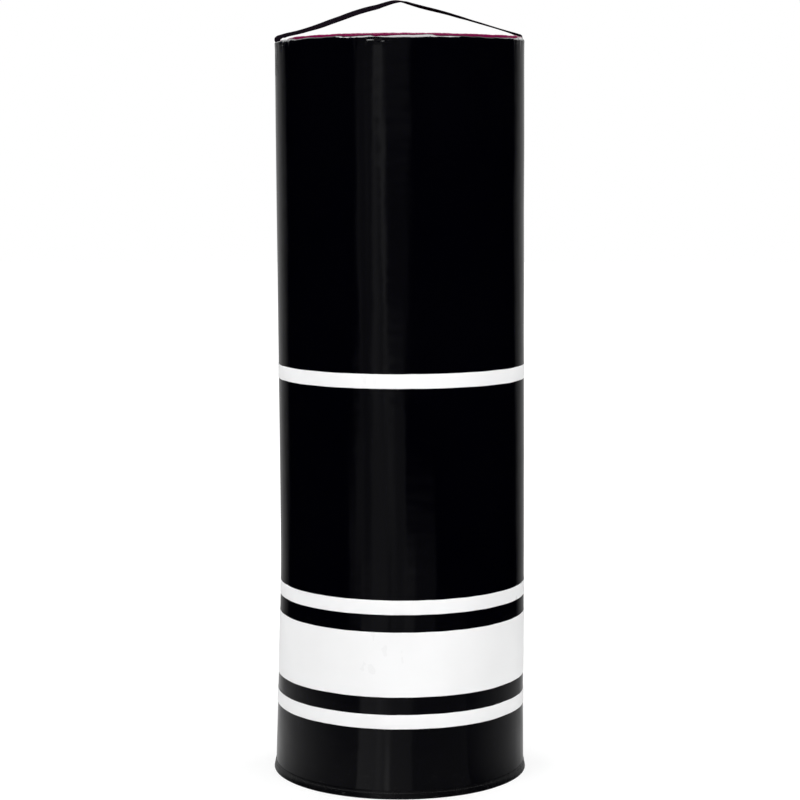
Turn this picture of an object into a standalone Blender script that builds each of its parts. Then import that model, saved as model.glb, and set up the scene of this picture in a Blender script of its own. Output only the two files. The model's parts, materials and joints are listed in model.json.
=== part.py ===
"""A free-standing tackling bag: a foam-filled cover with a webbing carry strap over its top.

Metres, +Z up. The origin is the centre of the base, on the floor. The front faces -Y and the zip
is at +Y.
"""

import bisect
import math

import bmesh
import bpy

# Cover
BAG_HEIGHT = 1.3576  # floor to the lower edge of the top binding
BODY_RADIUS = 0.228
HEM_FLARE = 0.0062  # how far the foot stands out past the body
FLARE_HEIGHT = 0.40
COVER_THICKNESS = 0.001
CLEARANCE = 0.0003
FLARE_POWER = 1.35
FLARE_ROW_SHARES = (0.1, 0.28, 0.5, 0.74, 1.0)
COLUMNS = 64
NEAR_CORNER_SHARE = 0.125  # an arc's end this near a corner of the plan takes its place

# Top seam, which stands up as a bound ridge
TOP_EDGE_INSET = 0.0012
TOP_TURN_HEIGHT = 0.012
SEAM_STAND = 0.0036
SEAM_DEPTH = 0.014
BINDING_THICKNESS = 0.0008
BINDING_END_MARGIN = 0.0015
PANEL_RECESS = 0.001
PANEL_CROWN = 0.003
CROWN_RING_SHARES = (0.5, 0.8)

# Bottom seam and base
WELT_HEIGHT = 0.0155
WELT_OUT = 0.003
WELT_TUCK = 0.005
WELT_OUT_SHARES = (0.5, 0.9, 1.0, 0.55, 0.16)
WELT_HEIGHT_SHARES = (0.0, 0.06, 0.2, 0.57, 1.0)
WEAR_DISC_THICKNESS = 0.0022
BASE_RIM_HEIGHT = 0.016

# Carry strap
STRAP_WIDTH = 0.040
STRAP_THICKNESS = 0.0022
STRAP_RISE = 0.064
STRAP_TURN = math.radians(12)
STRAP_TIP_CLEARANCE = 0.0015
CROWN_LAP = 0.012
CROWN_BEND_RADIUS = 0.020
CROWN_BEND_STEPS = 6
TAIL_LENGTH = 0.070
PATCH_THICKNESS = 0.001
PATCH_MARGIN = 0.008
THREAD_RADIUS = 0.0005
STITCH_MARGIN = 0.006
STITCH_BOX_HEIGHT = 0.042
STITCH_BOX_DROP = 0.018

# Zip in the back seam
ZIP_LENGTH = 0.62
ZIP_TOP_DROP = 0.040
SLOT_MARGIN = 0.0006  # between the slider's walls and the cover
TEETH_GAP = 0.0018
TEETH_WIDTH = 0.0041
TEETH_HEIGHT = 0.0024
TAPE_WIDTH = 0.021
TAPE_THICKNESS = 0.0008
TAPE_OVERRUN = 0.012
STOP_LENGTH = 0.004
STOP_HEIGHT = 0.0036
SLIDER_LENGTH = 0.024
SLIDER_PLATE = 0.0014
SLIDER_LOWER_PLATE = 0.001
SLIDER_WALL = 0.0011
SLIDER_OVERHANG = 0.0012
BRIDGE_WIDTH = 0.0024
BRIDGE_SPAN = 0.013
BRIDGE_BAR = 0.0013
TAB_LENGTH = 0.038
TAB_WIDTH = 0.009
TAB_THICKNESS = 0.0016
TAB_BAR_HEIGHT = 0.0018
TAB_ARM_WIDTH = 0.0022
TAB_WINDOW_MARGIN = 0.0012

# Strips and patches sewn over the back seam
SEAM_STRIP_WIDTH = 0.040
SEAM_STRIP_THICKNESS = 0.001
END_PATCH_WIDTH = 0.056
END_PATCH_HEIGHT = 0.044

# Hoops of thin vinyl: how high each one starts, and how tall it is
HOOP_THICKNESS = 0.0003
HOOP_END_MARGIN = 0.002
CHEST_HOOP_DROP = 0.6156  # from the top binding down to the chest hoop's lower edge
HOOPS = {
    "hoop_low": {"bottom": 0.128, "height": 0.026},
    "hoop_wide": {"bottom": 0.186, "height": 0.118},
    "hoop_high": {"bottom": 0.336, "height": 0.026},
    "hoop_chest": {"bottom": BAG_HEIGHT - CHEST_HOOP_DROP, "height": 0.026},
}

# Filling
BASE_PAD_THICKNESS = 0.035
CORE_RADIUS = 0.075
ROLL_TURNS = 4
ROLL_GAP = 0.0006
ROLL_THIN_END = 0.004
LINER_THICKNESS = 0.0005
BAND_THICKNESS = 0.0008
BAND_WIDTH = 0.050
BAND_NAMES = ("lower", "middle", "upper")
BAND_HEIGHT_SHARES = (0.16, 0.5, 0.84)

CUT_OVERRUN = 0.004
FULL_TURN = 2 * math.pi
BACK = math.pi / 2
SHARP_ANGLE = math.radians(35)

COLOURS = {
    "pvc_black": ((0.006, 0.006, 0.007), 0.22, 0.0),
    "pvc_base": ((0.008, 0.008, 0.009), 0.5, 0.0),
    "pvc_crimson": ((0.23, 0.012, 0.055), 0.4, 0.0),
    "vinyl_white": ((0.86, 0.86, 0.86), 0.35, 0.0),
    "webbing_black": ((0.012, 0.012, 0.013), 0.8, 0.0),
    "webbing_grey": ((0.2, 0.2, 0.21), 0.85, 0.0),
    "thread_black": ((0.01, 0.01, 0.01), 0.7, 0.0),
    "zip_black": ((0.012, 0.012, 0.012), 0.5, 0.0),
    "metal_dark": ((0.05, 0.05, 0.055), 0.35, 1.0),
    "liner_clear": ((0.6, 0.62, 0.64), 0.4, 0.0),
    "foam_grey": ((0.28, 0.28, 0.3), 0.95, 0.0),
    "foam_rebond": ((0.3, 0.26, 0.34), 0.95, 0.0),
}

# Heights and radii worked out from the sizes above
hem_radius = BODY_RADIUS + HEM_FLARE
seam_top = BAG_HEIGHT + SEAM_STAND
turn_start = BAG_HEIGHT - TOP_TURN_HEIGHT
panel_top = BAG_HEIGHT - PANEL_RECESS
panel_under = panel_top - COVER_THICKNESS
base_under = WEAR_DISC_THICKNESS + CLEARANCE
base_top = base_under + COVER_THICKNESS
base_pad_bottom = base_top + CLEARANCE
roll_bottom = base_pad_bottom + BASE_PAD_THICKNESS + CLEARANCE
tail_bottom = BAG_HEIGHT - TAIL_LENGTH
patch_bottom = tail_bottom - PATCH_MARGIN
roll_top = patch_bottom - CLEARANCE
zip_top = BAG_HEIGHT - ZIP_TOP_DROP
zip_bottom = zip_top - ZIP_LENGTH
stop_end = STOP_LENGTH + CLEARANCE
end_patch_top = zip_bottom - stop_end - 2 * CLEARANCE
end_patch_low = end_patch_top - END_PATCH_HEIGHT

# Depths below the cover's outer face
tape_outer = COVER_THICKNESS + CLEARANCE
tape_inner = tape_outer + TAPE_THICKNESS
slider_inner = tape_inner + CLEARANCE + SLIDER_LOWER_PLATE
channel_depth = slider_inner + 2 * CLEARANCE
tail_outer = COVER_THICKNESS + CLEARANCE
tail_inner = tail_outer + STRAP_THICKNESS
patch_outer = tail_inner + CLEARANCE
patch_inner = patch_outer + PATCH_THICKNESS

# Distances from the zip's middle: the slider's walls beside the teeth, and the slot's edge
wall_in = TEETH_GAP / 2 + TEETH_WIDTH + CLEARANCE
wall_out = wall_in + SLIDER_WALL
slot_edge = wall_out + SLOT_MARGIN

# Radii of the layers in the top seam
edge_radius = BODY_RADIUS - TOP_EDGE_INSET
rim_outer = edge_radius - tail_inner - CLEARANCE
rim_inner = rim_outer - COVER_THICKNESS

# How far the corners of the tab's bar reach from the line it turns on
tab_bar_reach = math.hypot(TAB_BAR_HEIGHT, TAB_THICKNESS) / 2

# The strap's hinge line and its straight runs
anchor_radius = edge_radius - tail_outer - STRAP_THICKNESS / 2
anchor_height = seam_top + CLEARANCE + STRAP_THICKNESS / 2
strap_slope = math.atan2(STRAP_RISE, anchor_radius)
strap_length = anchor_radius - STRAP_TIP_CLEARANCE


def wall_profile():
    """Points (height, radius) of the cover's outer face, from the floor up."""
    points = [(0.0, hem_radius)]
    for share in FLARE_ROW_SHARES:
        out = HEM_FLARE * (1 - share) ** FLARE_POWER
        points.append((share * FLARE_HEIGHT, BODY_RADIUS + out))
    points.append((turn_start, BODY_RADIUS))
    points.append((BAG_HEIGHT, edge_radius))
    points.append((seam_top, edge_radius))
    return points


PROFILE = wall_profile()


def wall_radius(height):
    """Radius of the cover's outer face at a height."""
    above = bisect.bisect_right([z for z, _ in PROFILE], height)
    above = min(max(above, 1), len(PROFILE) - 1)
    (z0, r0), (z1, r1) = PROFILE[above - 1 : above + 1]
    return r0 + (r1 - r0) * (height - z0) / (z1 - z0)


def wall_rows(bottom, top):
    """The heights where a piece that follows the cover needs points."""
    return [bottom] + [z for z, _ in PROFILE if bottom < z < top] + [top]


def wall_section(bottom, top, outer_depth, inner_depth):
    """Closed outline (radius, height) of a layer between two depths below the cover's outer face."""
    rows = wall_rows(bottom, top)
    outer = [(wall_radius(z) - outer_depth, z) for z in rows]
    inner = [(wall_radius(z) - inner_depth, z) for z in reversed(rows)]
    return outer + inner


def plan_share(angle):
    """How far out the many-sided plan reaches at an angle, as a share of its corners' radius."""
    step = FULL_TURN / COLUMNS
    from_middle = (angle - BACK + step / 2) % step - step / 2
    return math.cos(step / 2) / math.cos(from_middle)


def plan_angles(start, end):
    """The plan's corner angles between two angles, with the two ends."""
    step = FULL_TURN / COLUMNS
    first = math.floor((start - BACK) / step + 0.5) + 0.5
    corners = [BACK + (first + i) * step for i in range(COLUMNS + 1)]
    margin = NEAR_CORNER_SHARE * step
    inside = [a for a in corners if start + margin < a < end - margin]
    return [start] + inside + [end]


def ring_angles():
    """The plan's corner angles, once round."""
    step = FULL_TURN / COLUMNS
    return [BACK + (i + 0.5) * step for i in range(COLUMNS)]


def arc_of(width, radius=BODY_RADIUS):
    """Half the angle that a width takes up on a radius."""
    return math.asin(width / 2 / radius)


def on_plan(bm, radius, angle, height):
    """A point on the many-sided plan."""
    out = radius * plan_share(angle)
    return bm.verts.new((out * math.cos(angle), out * math.sin(angle), height))


def material(name):
    """The named Principled material, made once."""
    found = bpy.data.materials.get(name)
    if found:
        return found
    colour, roughness, metallic = COLOURS[name]
    made = bpy.data.materials.new(name)
    made.use_nodes = True
    shader = made.node_tree.nodes["Principled BSDF"]
    shader.inputs["Base Color"].default_value = (*colour, 1.0)
    shader.inputs["Roughness"].default_value = roughness
    shader.inputs["Metallic"].default_value = metallic
    made.diffuse_color = (*colour, 1.0)
    return made


def place(name, bm, look, parent=None, at=(0.0, 0.0, 0.0), turn=(0.0, 0.0, 0.0)):
    """Turns a bmesh into a named object with its material."""
    bmesh.ops.recalc_face_normals(bm, faces=bm.faces)
    mesh = bpy.data.meshes.new(name)
    bm.to_mesh(mesh)
    bm.free()
    mesh.shade_smooth()
    mesh.set_sharp_from_angle(angle=SHARP_ANGLE)
    made = bpy.data.objects.new(name, mesh)
    made.data.materials.append(material(look))
    made.parent = parent
    made.location = at
    made.rotation_euler = turn
    bpy.context.scene.collection.objects.link(made)
    return made


def empty(name, at=(0.0, 0.0, 0.0), turn=(0.0, 0.0, 0.0)):
    made = bpy.data.objects.new(name, None)
    made.location = at
    made.rotation_euler = turn
    bpy.context.scene.collection.objects.link(made)
    return made


def hide_helper(helper):
    """A cutter, or a shape that is joined to another."""
    helper.hide_render = True
    helper.display_type = "WIRE"


def boolean(target, helper, operation):
    hide_helper(helper)
    modifier = target.modifiers.new(helper.name, "BOOLEAN")
    modifier.operation = operation
    modifier.solver = "EXACT"
    modifier.object = helper


def bridge_sections(bm, sections, closed):
    """Quads from each section to the next, with flat ends where the row isn't closed."""
    count = len(sections)
    for i in range(count if closed else count - 1):
        here = sections[i]
        ahead = sections[(i + 1) % count]
        for j in range(len(here)):
            k = (j + 1) % len(here)
            bm.faces.new((here[j], here[k], ahead[k], ahead[j]))
    if not closed:
        bm.faces.new(sections[0])
        bm.faces.new(list(reversed(sections[-1])))


def ring(name, outline, look):
    """A closed ring whose section is the outline of (radius, height) points."""
    bm = bmesh.new()
    sections = [[on_plan(bm, r, angle, z) for r, z in outline] for angle in ring_angles()]
    bridge_sections(bm, sections, closed=True)
    return place(name, bm, look)


def arc(name, outline, start, end, look):
    """Part of a ring, from one angle to another, with flat ends."""
    bm = bmesh.new()
    angles = plan_angles(start, end)
    sections = [[on_plan(bm, r, angle, z) for r, z in outline] for angle in angles]
    bridge_sections(bm, sections, closed=False)
    return place(name, bm, look)


def turned(name, outline, look):
    """A solid turned from an outline that starts and ends on the bag's axis."""
    bm = bmesh.new()
    first = bm.verts.new((0.0, 0.0, outline[0][1]))
    last = bm.verts.new((0.0, 0.0, outline[-1][1]))
    columns = [[on_plan(bm, r, angle, z) for r, z in outline[1:-1]] for angle in ring_angles()]
    for i, here in enumerate(columns):
        ahead = columns[(i + 1) % len(columns)]
        bm.faces.new((first, here[0], ahead[0]))
        bm.faces.new((last, ahead[-1], here[-1]))
        for j in range(len(here) - 1):
            bm.faces.new((here[j], here[j + 1], ahead[j + 1], ahead[j]))
    return place(name, bm, look)


def extruded(name, outline, width, look, **placing):
    """An outline of (x, z) points, extruded to a width along Y, centred on Y."""
    bm = bmesh.new()
    face = bm.faces.new([bm.verts.new((x, -width / 2, z)) for x, z in outline])
    grown = bmesh.ops.extrude_face_region(bm, geom=[face])["geom"]
    moved = [v for v in grown if isinstance(v, bmesh.types.BMVert)]
    bmesh.ops.translate(bm, verts=moved, vec=(0.0, width, 0.0))
    return place(name, bm, look, **placing)


def block(name, low, high, look, **placing):
    """A plain block between two corners."""
    bm = bmesh.new()
    bmesh.ops.create_cube(bm, size=1.0)
    for vert in bm.verts:
        vert.co = [b if c > 0 else a for a, b, c in zip(low, high, vert.co)]
    return place(name, bm, look, **placing)


def crowned(radius, edge_height):
    """Points (radius, height) from the axis out to the edge of a slightly crowned disc."""
    shares = (0.0, *CROWN_RING_SHARES, 1.0)
    return [(radius * s, edge_height + PANEL_CROWN * (1 - s * s)) for s in shares]


def build_cover():
    panel = ring(
        "cover_side_panel",
        wall_section(base_under, seam_top, 0.0, COVER_THICKNESS),
        "pvc_black",
    )
    low = (-slot_edge, BODY_RADIUS - COVER_THICKNESS - CUT_OVERRUN, zip_bottom - stop_end - CLEARANCE)
    high = (slot_edge, BODY_RADIUS + CUT_OVERRUN, zip_top + stop_end + CLEARANCE)
    boolean(panel, block("zip_slot_cutter", low, high, "pvc_black"), "DIFFERENCE")

    rim = [(rim_inner, seam_top), (rim_outer, seam_top)]
    under = list(reversed(crowned(rim_outer, panel_under)))
    turned("top_panel", crowned(rim_inner, panel_top) + rim + under, "pvc_crimson")


def strap_ends():
    """The angles where the strap goes through the top seam, left and right."""
    return math.pi + STRAP_TURN, STRAP_TURN


def build_top_seam():
    left, right = strap_ends()
    half = arc_of(STRAP_WIDTH + 2 * BINDING_END_MARGIN, anchor_radius)
    spans = {
        "front": (left + half, right + FULL_TURN - half),
        "back": (right + half, left - half),
    }
    tape = wall_section(BAG_HEIGHT - SEAM_DEPTH, seam_top, tail_outer, tail_inner)
    outer_face = edge_radius + CLEARANCE
    inner_face = rim_inner - CLEARANCE
    binding_under = seam_top + CLEARANCE
    inner_foot = panel_top + CLEARANCE
    binding = [
        (outer_face, BAG_HEIGHT),
        (outer_face + BINDING_THICKNESS, BAG_HEIGHT),
        (outer_face + BINDING_THICKNESS, binding_under),
        (outer_face, binding_under + BINDING_THICKNESS),
        (inner_face, binding_under + BINDING_THICKNESS),
        (inner_face - BINDING_THICKNESS, binding_under),
        (inner_face - BINDING_THICKNESS, inner_foot),
        (inner_face, inner_foot),
        (inner_face, binding_under),
        (outer_face, binding_under),
    ]
    for side, (start, end) in spans.items():
        arc(f"top_seam_tape_{side}", tape, start, end, "webbing_grey")
        arc(f"top_binding_{side}", binding, start, end, "pvc_crimson")


def build_base():
    face = [(wall_radius(s * WELT_HEIGHT) + CLEARANCE, s * WELT_HEIGHT) for s in WELT_HEIGHT_SHARES]
    outside = [(r + WELT_OUT * s, z) for (r, z), s in zip(face, WELT_OUT_SHARES)]
    tuck_radius = hem_radius - WELT_TUCK
    inside = [
        (wall_radius(WELT_HEIGHT) + CLEARANCE, WELT_HEIGHT),
        (wall_radius(WEAR_DISC_THICKNESS) + CLEARANCE, WEAR_DISC_THICKNESS),
        (tuck_radius, WEAR_DISC_THICKNESS),
        (tuck_radius, 0.0),
    ]
    ring("base_welt", outside + inside, "pvc_black")

    wear_radius = tuck_radius - CLEARANCE
    wear = [(0.0, WEAR_DISC_THICKNESS), (wear_radius, WEAR_DISC_THICKNESS), (wear_radius, 0.0), (0.0, 0.0)]
    turned("base_wear_disc", wear, "pvc_base")

    outer_depth = COVER_THICKNESS + CLEARANCE
    inner_depth = outer_depth + COVER_THICKNESS
    dish = [
        (0.0, base_top),
        (wall_radius(base_top) - inner_depth, base_top),
        (wall_radius(BASE_RIM_HEIGHT) - inner_depth, BASE_RIM_HEIGHT),
        (wall_radius(BASE_RIM_HEIGHT) - outer_depth, BASE_RIM_HEIGHT),
        (wall_radius(base_under) - outer_depth, base_under),
        (0.0, base_under),
    ]
    turned("base_panel", dish, "pvc_base")


def build_strap_tails():
    half = arc_of(STRAP_WIDTH, anchor_radius)
    patch_half = arc_of(STRAP_WIDTH + 2 * PATCH_MARGIN, anchor_radius)
    tail = wall_section(tail_bottom, seam_top, tail_outer, tail_inner)
    patch = wall_section(patch_bottom, panel_under - CLEARANCE, patch_outer, patch_inner)
    for side, middle in zip(("left", "right"), strap_ends()):
        arc(f"handle_tail_{side}", tail, middle - half, middle + half, "webbing_black")
        arc(f"handle_patch_{side}", patch, middle - patch_half, middle + patch_half, "pvc_black")
        stitch_box(f"handle_stitching_{side}", middle)


def stitch_box(name, middle):
    """A box of thread on the cover's outer face, over the strap's tail."""
    half = arc_of(STRAP_WIDTH - 2 * STITCH_MARGIN)
    top = BAG_HEIGHT - STITCH_BOX_DROP
    bottom = top - STITCH_BOX_HEIGHT
    angles = plan_angles(middle - half, middle + half)
    route = [(a, top) for a in angles] + [(a, bottom) for a in reversed(angles)]
    curve = bpy.data.curves.new(name, "CURVE")
    curve.dimensions = "3D"
    curve.bevel_depth = THREAD_RADIUS
    curve.bevel_resolution = 1
    spline = curve.splines.new("POLY")
    spline.points.add(len(route) - 1)
    for point, (angle, height) in zip(spline.points, route):
        out = (wall_radius(height) + CLEARANCE + THREAD_RADIUS) * plan_share(angle)
        point.co = (out * math.cos(angle), out * math.sin(angle), height, 1.0)
    spline.use_cyclic_u = True
    made = bpy.data.objects.new(name, curve)
    curve.materials.append(material("thread_black"))
    bpy.context.scene.collection.objects.link(made)


def build_strap():
    """The strap over the top: two straight runs that fold down, and the crown that laps over their tips."""
    line = empty("strap_line", turn=(0.0, 0.0, STRAP_TURN))
    for side, sign in (("left", 1), ("right", -1)):
        low = (0.0, -STRAP_WIDTH / 2, -STRAP_THICKNESS / 2)
        high = (strap_length, STRAP_WIDTH / 2, STRAP_THICKNESS / 2)
        turn = (0.0, -strap_slope, 0.0 if sign > 0 else math.pi)
        at = (-sign * anchor_radius, 0.0, anchor_height)
        block(f"handle_strap_{side}", low, high, "webbing_black", parent=line, at=at, turn=turn)

    # The crown's underside keeps the clearance to both runs, and its top is rounded.
    tip = anchor_radius - strap_length * math.cos(strap_slope)
    reach = tip + CROWN_LAP
    lift = (STRAP_THICKNESS / 2 + CLEARANCE) / math.cos(strap_slope)
    inner = bent_line(reach, CROWN_BEND_RADIUS, 0.0)
    outer = bent_line(reach, CROWN_BEND_RADIUS, STRAP_THICKNESS)
    at = (0.0, 0.0, anchor_height + STRAP_RISE + lift)
    extruded("handle_crown", inner + list(reversed(outer)), STRAP_WIDTH, "webbing_black", parent=line, at=at)


def bent_line(reach, bend_radius, out):
    """Points (x, z) down one slope, round the bend and down the other, at a distance out from it.

    The two slopes of the line with out at zero would meet at the origin.
    """
    centre = -bend_radius / math.cos(strap_slope)
    radius = bend_radius + out
    turns = [strap_slope * (2 * i / CROWN_BEND_STEPS - 1) for i in range(CROWN_BEND_STEPS + 1)]
    bend = [(radius * math.sin(t), centre + radius * math.cos(t)) for t in turns]
    foot_x = reach + out * math.sin(strap_slope)
    foot_z = -reach * math.tan(strap_slope) + out * math.cos(strap_slope)
    return [(-foot_x, foot_z)] + bend + [(foot_x, foot_z)]


def build_zip():
    tape = wall_section(
        zip_bottom - TAPE_OVERRUN, zip_top + TAPE_OVERRUN, tape_outer, tape_inner
    )
    teeth = wall_section(zip_bottom, zip_top, COVER_THICKNESS, COVER_THICKNESS - TEETH_HEIGHT)
    near = arc_of(TEETH_GAP)
    far = arc_of(TEETH_GAP + 2 * TEETH_WIDTH)
    tape_far = arc_of(TEETH_GAP + 2 * TAPE_WIDTH)
    stop_low = zip_top + CLEARANCE
    stop = wall_section(stop_low, stop_low + STOP_LENGTH, COVER_THICKNESS, COVER_THICKNESS - STOP_HEIGHT)
    for side, sign in (("left", 1), ("right", -1)):
        arc(f"zip_tape_{side}", tape, *side_span(sign, near, tape_far), "zip_black")
        arc(f"zip_teeth_{side}", teeth, *side_span(sign, near, far), "zip_black")
        arc(f"zip_top_stop_{side}", stop, *side_span(sign, near, far), "metal_dark")
    stop_low = zip_bottom - stop_end
    stop = wall_section(stop_low, stop_low + STOP_LENGTH, COVER_THICKNESS, COVER_THICKNESS - STOP_HEIGHT)
    arc("zip_bottom_stop", stop, BACK - far, BACK + far, "metal_dark")
    build_slider()


def side_span(sign, near, far):
    """The angles of a piece beside the zip's middle."""
    return (BACK + near, BACK + far) if sign > 0 else (BACK - far, BACK - near)


def build_slider():
    """The slider grips both rows of teeth: a web between them joins its outer and inner plates."""
    face = BODY_RADIUS * math.cos(FULL_TURN / COLUMNS / 2)
    teeth_top = face - COVER_THICKNESS + TEETH_HEIGHT
    plate_low = teeth_top + CLEARANCE
    plate_high = plate_low + SLIDER_PLATE
    wall_low = face - COVER_THICKNESS + CLEARANCE
    inner_high = face - tape_inner - CLEARANCE
    inner_low = inner_high - SLIDER_LOWER_PLATE
    web = TEETH_GAP / 2 - CLEARANCE
    plate_out = wall_out + SLIDER_OVERHANG
    half = [
        (web, inner_high),
        (web, plate_low),
        (wall_in, plate_low),
        (wall_in, wall_low),
        (wall_out, wall_low),
        (wall_out, plate_low),
        (plate_out, plate_low),
        (plate_out, plate_high),
    ]
    bottom = [(wall_in, inner_low), (wall_in, inner_high)]
    right = bottom + half
    left = [(-x, y) for x, y in reversed(right)]
    axis_y = plate_high + CLEARANCE + tab_bar_reach
    middle = zip_top - SLIDER_LENGTH / 2
    mount = empty("zip_slider_mount", at=(0.0, axis_y, middle))

    bm = bmesh.new()
    points = [bm.verts.new((x, y - axis_y, -SLIDER_LENGTH / 2)) for x, y in right + left]
    bm.faces.new(points)
    grown = bmesh.ops.extrude_face_region(bm, geom=bm.faces[:])["geom"]
    moved = [v for v in grown if isinstance(v, bmesh.types.BMVert)]
    bmesh.ops.translate(bm, verts=moved, vec=(0.0, 0.0, SLIDER_LENGTH))
    slider = place("zip_slider", bm, "metal_dark", parent=mount)

    # The bridge stands on the outer plate, and the tab's bar turns inside it.
    foot = plate_high - axis_y - SLIDER_PLATE / 2
    inside = tab_bar_reach + CLEARANCE
    top = inside + BRIDGE_BAR
    span = BRIDGE_SPAN / 2
    window = span - BRIDGE_BAR
    bridge = [
        (-span, foot),
        (-span, inside),
        (-window, top),
        (window, top),
        (span, inside),
        (span, foot),
        (window, foot),
        (window, inside),
        (-window, inside),
        (-window, foot),
    ]
    bm = bmesh.new()
    face_points = [bm.verts.new((-BRIDGE_WIDTH / 2, y, z)) for z, y in bridge]
    bm.faces.new(face_points)
    grown = bmesh.ops.extrude_face_region(bm, geom=bm.faces[:])["geom"]
    moved = [v for v in grown if isinstance(v, bmesh.types.BMVert)]
    bmesh.ops.translate(bm, verts=moved, vec=(BRIDGE_WIDTH, 0.0, 0.0))
    boolean(slider, place("slider_bridge", bm, "metal_dark", parent=mount), "UNION")
    build_tab(mount, span)


def build_tab(mount, bridge_reach):
    """The pull tab hangs from its bar, and its arms pass on both sides of the bridge."""
    window_top = -TAB_BAR_HEIGHT / 2
    window_low = -(bridge_reach + TAB_WINDOW_MARGIN)
    low = (-TAB_WIDTH / 2, -TAB_THICKNESS / 2, window_low - TAB_LENGTH)
    high = (TAB_WIDTH / 2, TAB_THICKNESS / 2, TAB_BAR_HEIGHT / 2)
    tab = block("zip_pull_tab", low, high, "metal_dark", parent=mount)
    window = TAB_WIDTH / 2 - TAB_ARM_WIDTH
    low = (-window, -TAB_THICKNESS, window_low)
    high = (window, TAB_THICKNESS, window_top)
    boolean(tab, block("tab_window_cutter", low, high, "metal_dark", parent=mount), "DIFFERENCE")


def build_back_strips():
    outer = CLEARANCE + SEAM_STRIP_THICKNESS
    half = arc_of(END_PATCH_WIDTH)
    patch = wall_section(end_patch_low, end_patch_top, -outer, -CLEARANCE)
    arc("zip_end_patch", patch, BACK - half, BACK + half, "pvc_black")
    half = arc_of(SEAM_STRIP_WIDTH)
    strip = wall_section(WELT_HEIGHT + CLEARANCE, end_patch_low - CLEARANCE, -outer, -CLEARANCE)
    arc("back_seam_strip", strip, BACK - half, BACK + half, "pvc_black")


def back_width(low, high):
    """The widest piece down the middle of the back between two heights."""
    pieces = [
        (WELT_HEIGHT, end_patch_low, SEAM_STRIP_WIDTH),
        (end_patch_low, end_patch_top, END_PATCH_WIDTH),
        (end_patch_top, BAG_HEIGHT, 2 * TAPE_WIDTH),
    ]
    return max(width for bottom, top, width in pieces if bottom < high and top > low)


def build_hoops():
    for name, hoop in HOOPS.items():
        low = hoop["bottom"]
        high = low + hoop["height"]
        half = arc_of(back_width(low, high) + 2 * HOOP_END_MARGIN)
        outline = wall_section(low, high, -CLEARANCE - HOOP_THICKNESS, -CLEARANCE)
        arc(name, outline, BACK + half, BACK + FULL_TURN - half, "vinyl_white")


def filling_depth(angle):
    """How far inside the cover's outer face the filling starts, deeper in a channel behind the zip."""
    step = FULL_TURN / COLUMNS
    off = abs((angle - BACK + math.pi) % FULL_TURN - math.pi)
    deep = off - step < arc_of(TEETH_GAP + 2 * TAPE_WIDTH)
    return channel_depth if deep else COVER_THICKNESS + CLEARANCE


def beside(angle):
    """A plan corner and the corners on both sides of it."""
    step = FULL_TURN / COLUMNS
    return angle - step, angle, angle + step


def filling_ring(name, bottom, top, more_depth, thickness, look):
    """A sleeve round the filling, with the zip's channel in it."""
    bm = bmesh.new()
    sections = []
    for angle in ring_angles():
        outer = BODY_RADIUS - filling_depth(angle) - more_depth
        inner = outer - thickness
        corners = [(outer, bottom), (outer, top), (inner, top), (inner, bottom)]
        sections.append([on_plan(bm, r, angle, z) for r, z in corners])
    bridge_sections(bm, sections, closed=True)
    return place(name, bm, look)


def build_filling():
    pad_radius = wall_radius(BASE_RIM_HEIGHT) - 2 * (COVER_THICKNESS + CLEARANCE) - CLEARANCE
    pad_top = base_pad_bottom + BASE_PAD_THICKNESS
    pad = [(0.0, pad_top), (pad_radius, pad_top), (pad_radius, base_pad_bottom), (0.0, base_pad_bottom)]
    turned("foam_base_pad", pad, "foam_rebond")

    core = [(0.0, roll_top), (CORE_RADIUS, roll_top), (CORE_RADIUS, roll_bottom), (0.0, roll_bottom)]
    turned("foam_core", core, "foam_rebond")
    build_roll()

    band_depth = LINER_THICKNESS + CLEARANCE
    for band, share in zip(BAND_NAMES, BAND_HEIGHT_SHARES):
        middle = roll_bottom + share * (roll_top - roll_bottom)
        low, high = middle - BAND_WIDTH / 2, middle + BAND_WIDTH / 2
        filling_ring(f"roll_band_{band}", low, high, band_depth, BAND_THICKNESS, "webbing_grey")
    filling_ring("inner_liner", roll_bottom, roll_top, 0.0, LINER_THICKNESS, "liner_clear")

    cap_radius = edge_radius - patch_inner - CLEARANCE
    cap_edge = panel_under - CLEARANCE
    cap_low = roll_top + CLEARANCE
    cap = crowned(cap_radius, cap_edge) + [(cap_radius, cap_low), (0.0, cap_low)]
    turned("foam_top_pad", cap, "foam_rebond")


def build_roll():
    """One foam sheet wound round the core, with both of its ends shaved thin so that the roll is round."""
    # The sheet turns at every second corner, so its flats lie nearer the core than its corners do.
    inner_limit = (CORE_RADIUS + CLEARANCE) / math.cos(FULL_TURN / COLUMNS)
    roll_depth = LINER_THICKNESS + BAND_THICKNESS + 2 * CLEARANCE
    corners = ring_angles()[::2]
    bm = bmesh.new()
    sections = []
    for i in range(len(corners) * (ROLL_TURNS + 1) + 1):
        angle = corners[i % len(corners)]
        turns = i / len(corners)
        outer_limit = BODY_RADIUS - max(map(filling_depth, beside(angle))) - roll_depth
        per_turn = (outer_limit - inner_limit) / ROLL_TURNS
        outer = min(inner_limit + per_turn * turns - ROLL_GAP / 2, outer_limit)
        inner = max(inner_limit + per_turn * (turns - 1) + ROLL_GAP / 2, inner_limit)
        if outer - inner < ROLL_THIN_END:
            continue
        outline = [(outer, roll_bottom), (outer, roll_top), (inner, roll_top), (inner, roll_bottom)]
        sections.append([on_plan(bm, r, angle, z) for r, z in outline])
    bridge_sections(bm, sections, closed=False)
    place("foam_roll", bm, "foam_grey")


def clear_scene():
    for old in list(bpy.data.objects):
        bpy.data.objects.remove(old, do_unlink=True)


clear_scene()
build_cover()
build_top_seam()
build_base()
build_strap_tails()
build_strap()
build_zip()
build_back_strips()
build_hoops()
build_filling()
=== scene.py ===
import json
import math

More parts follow.
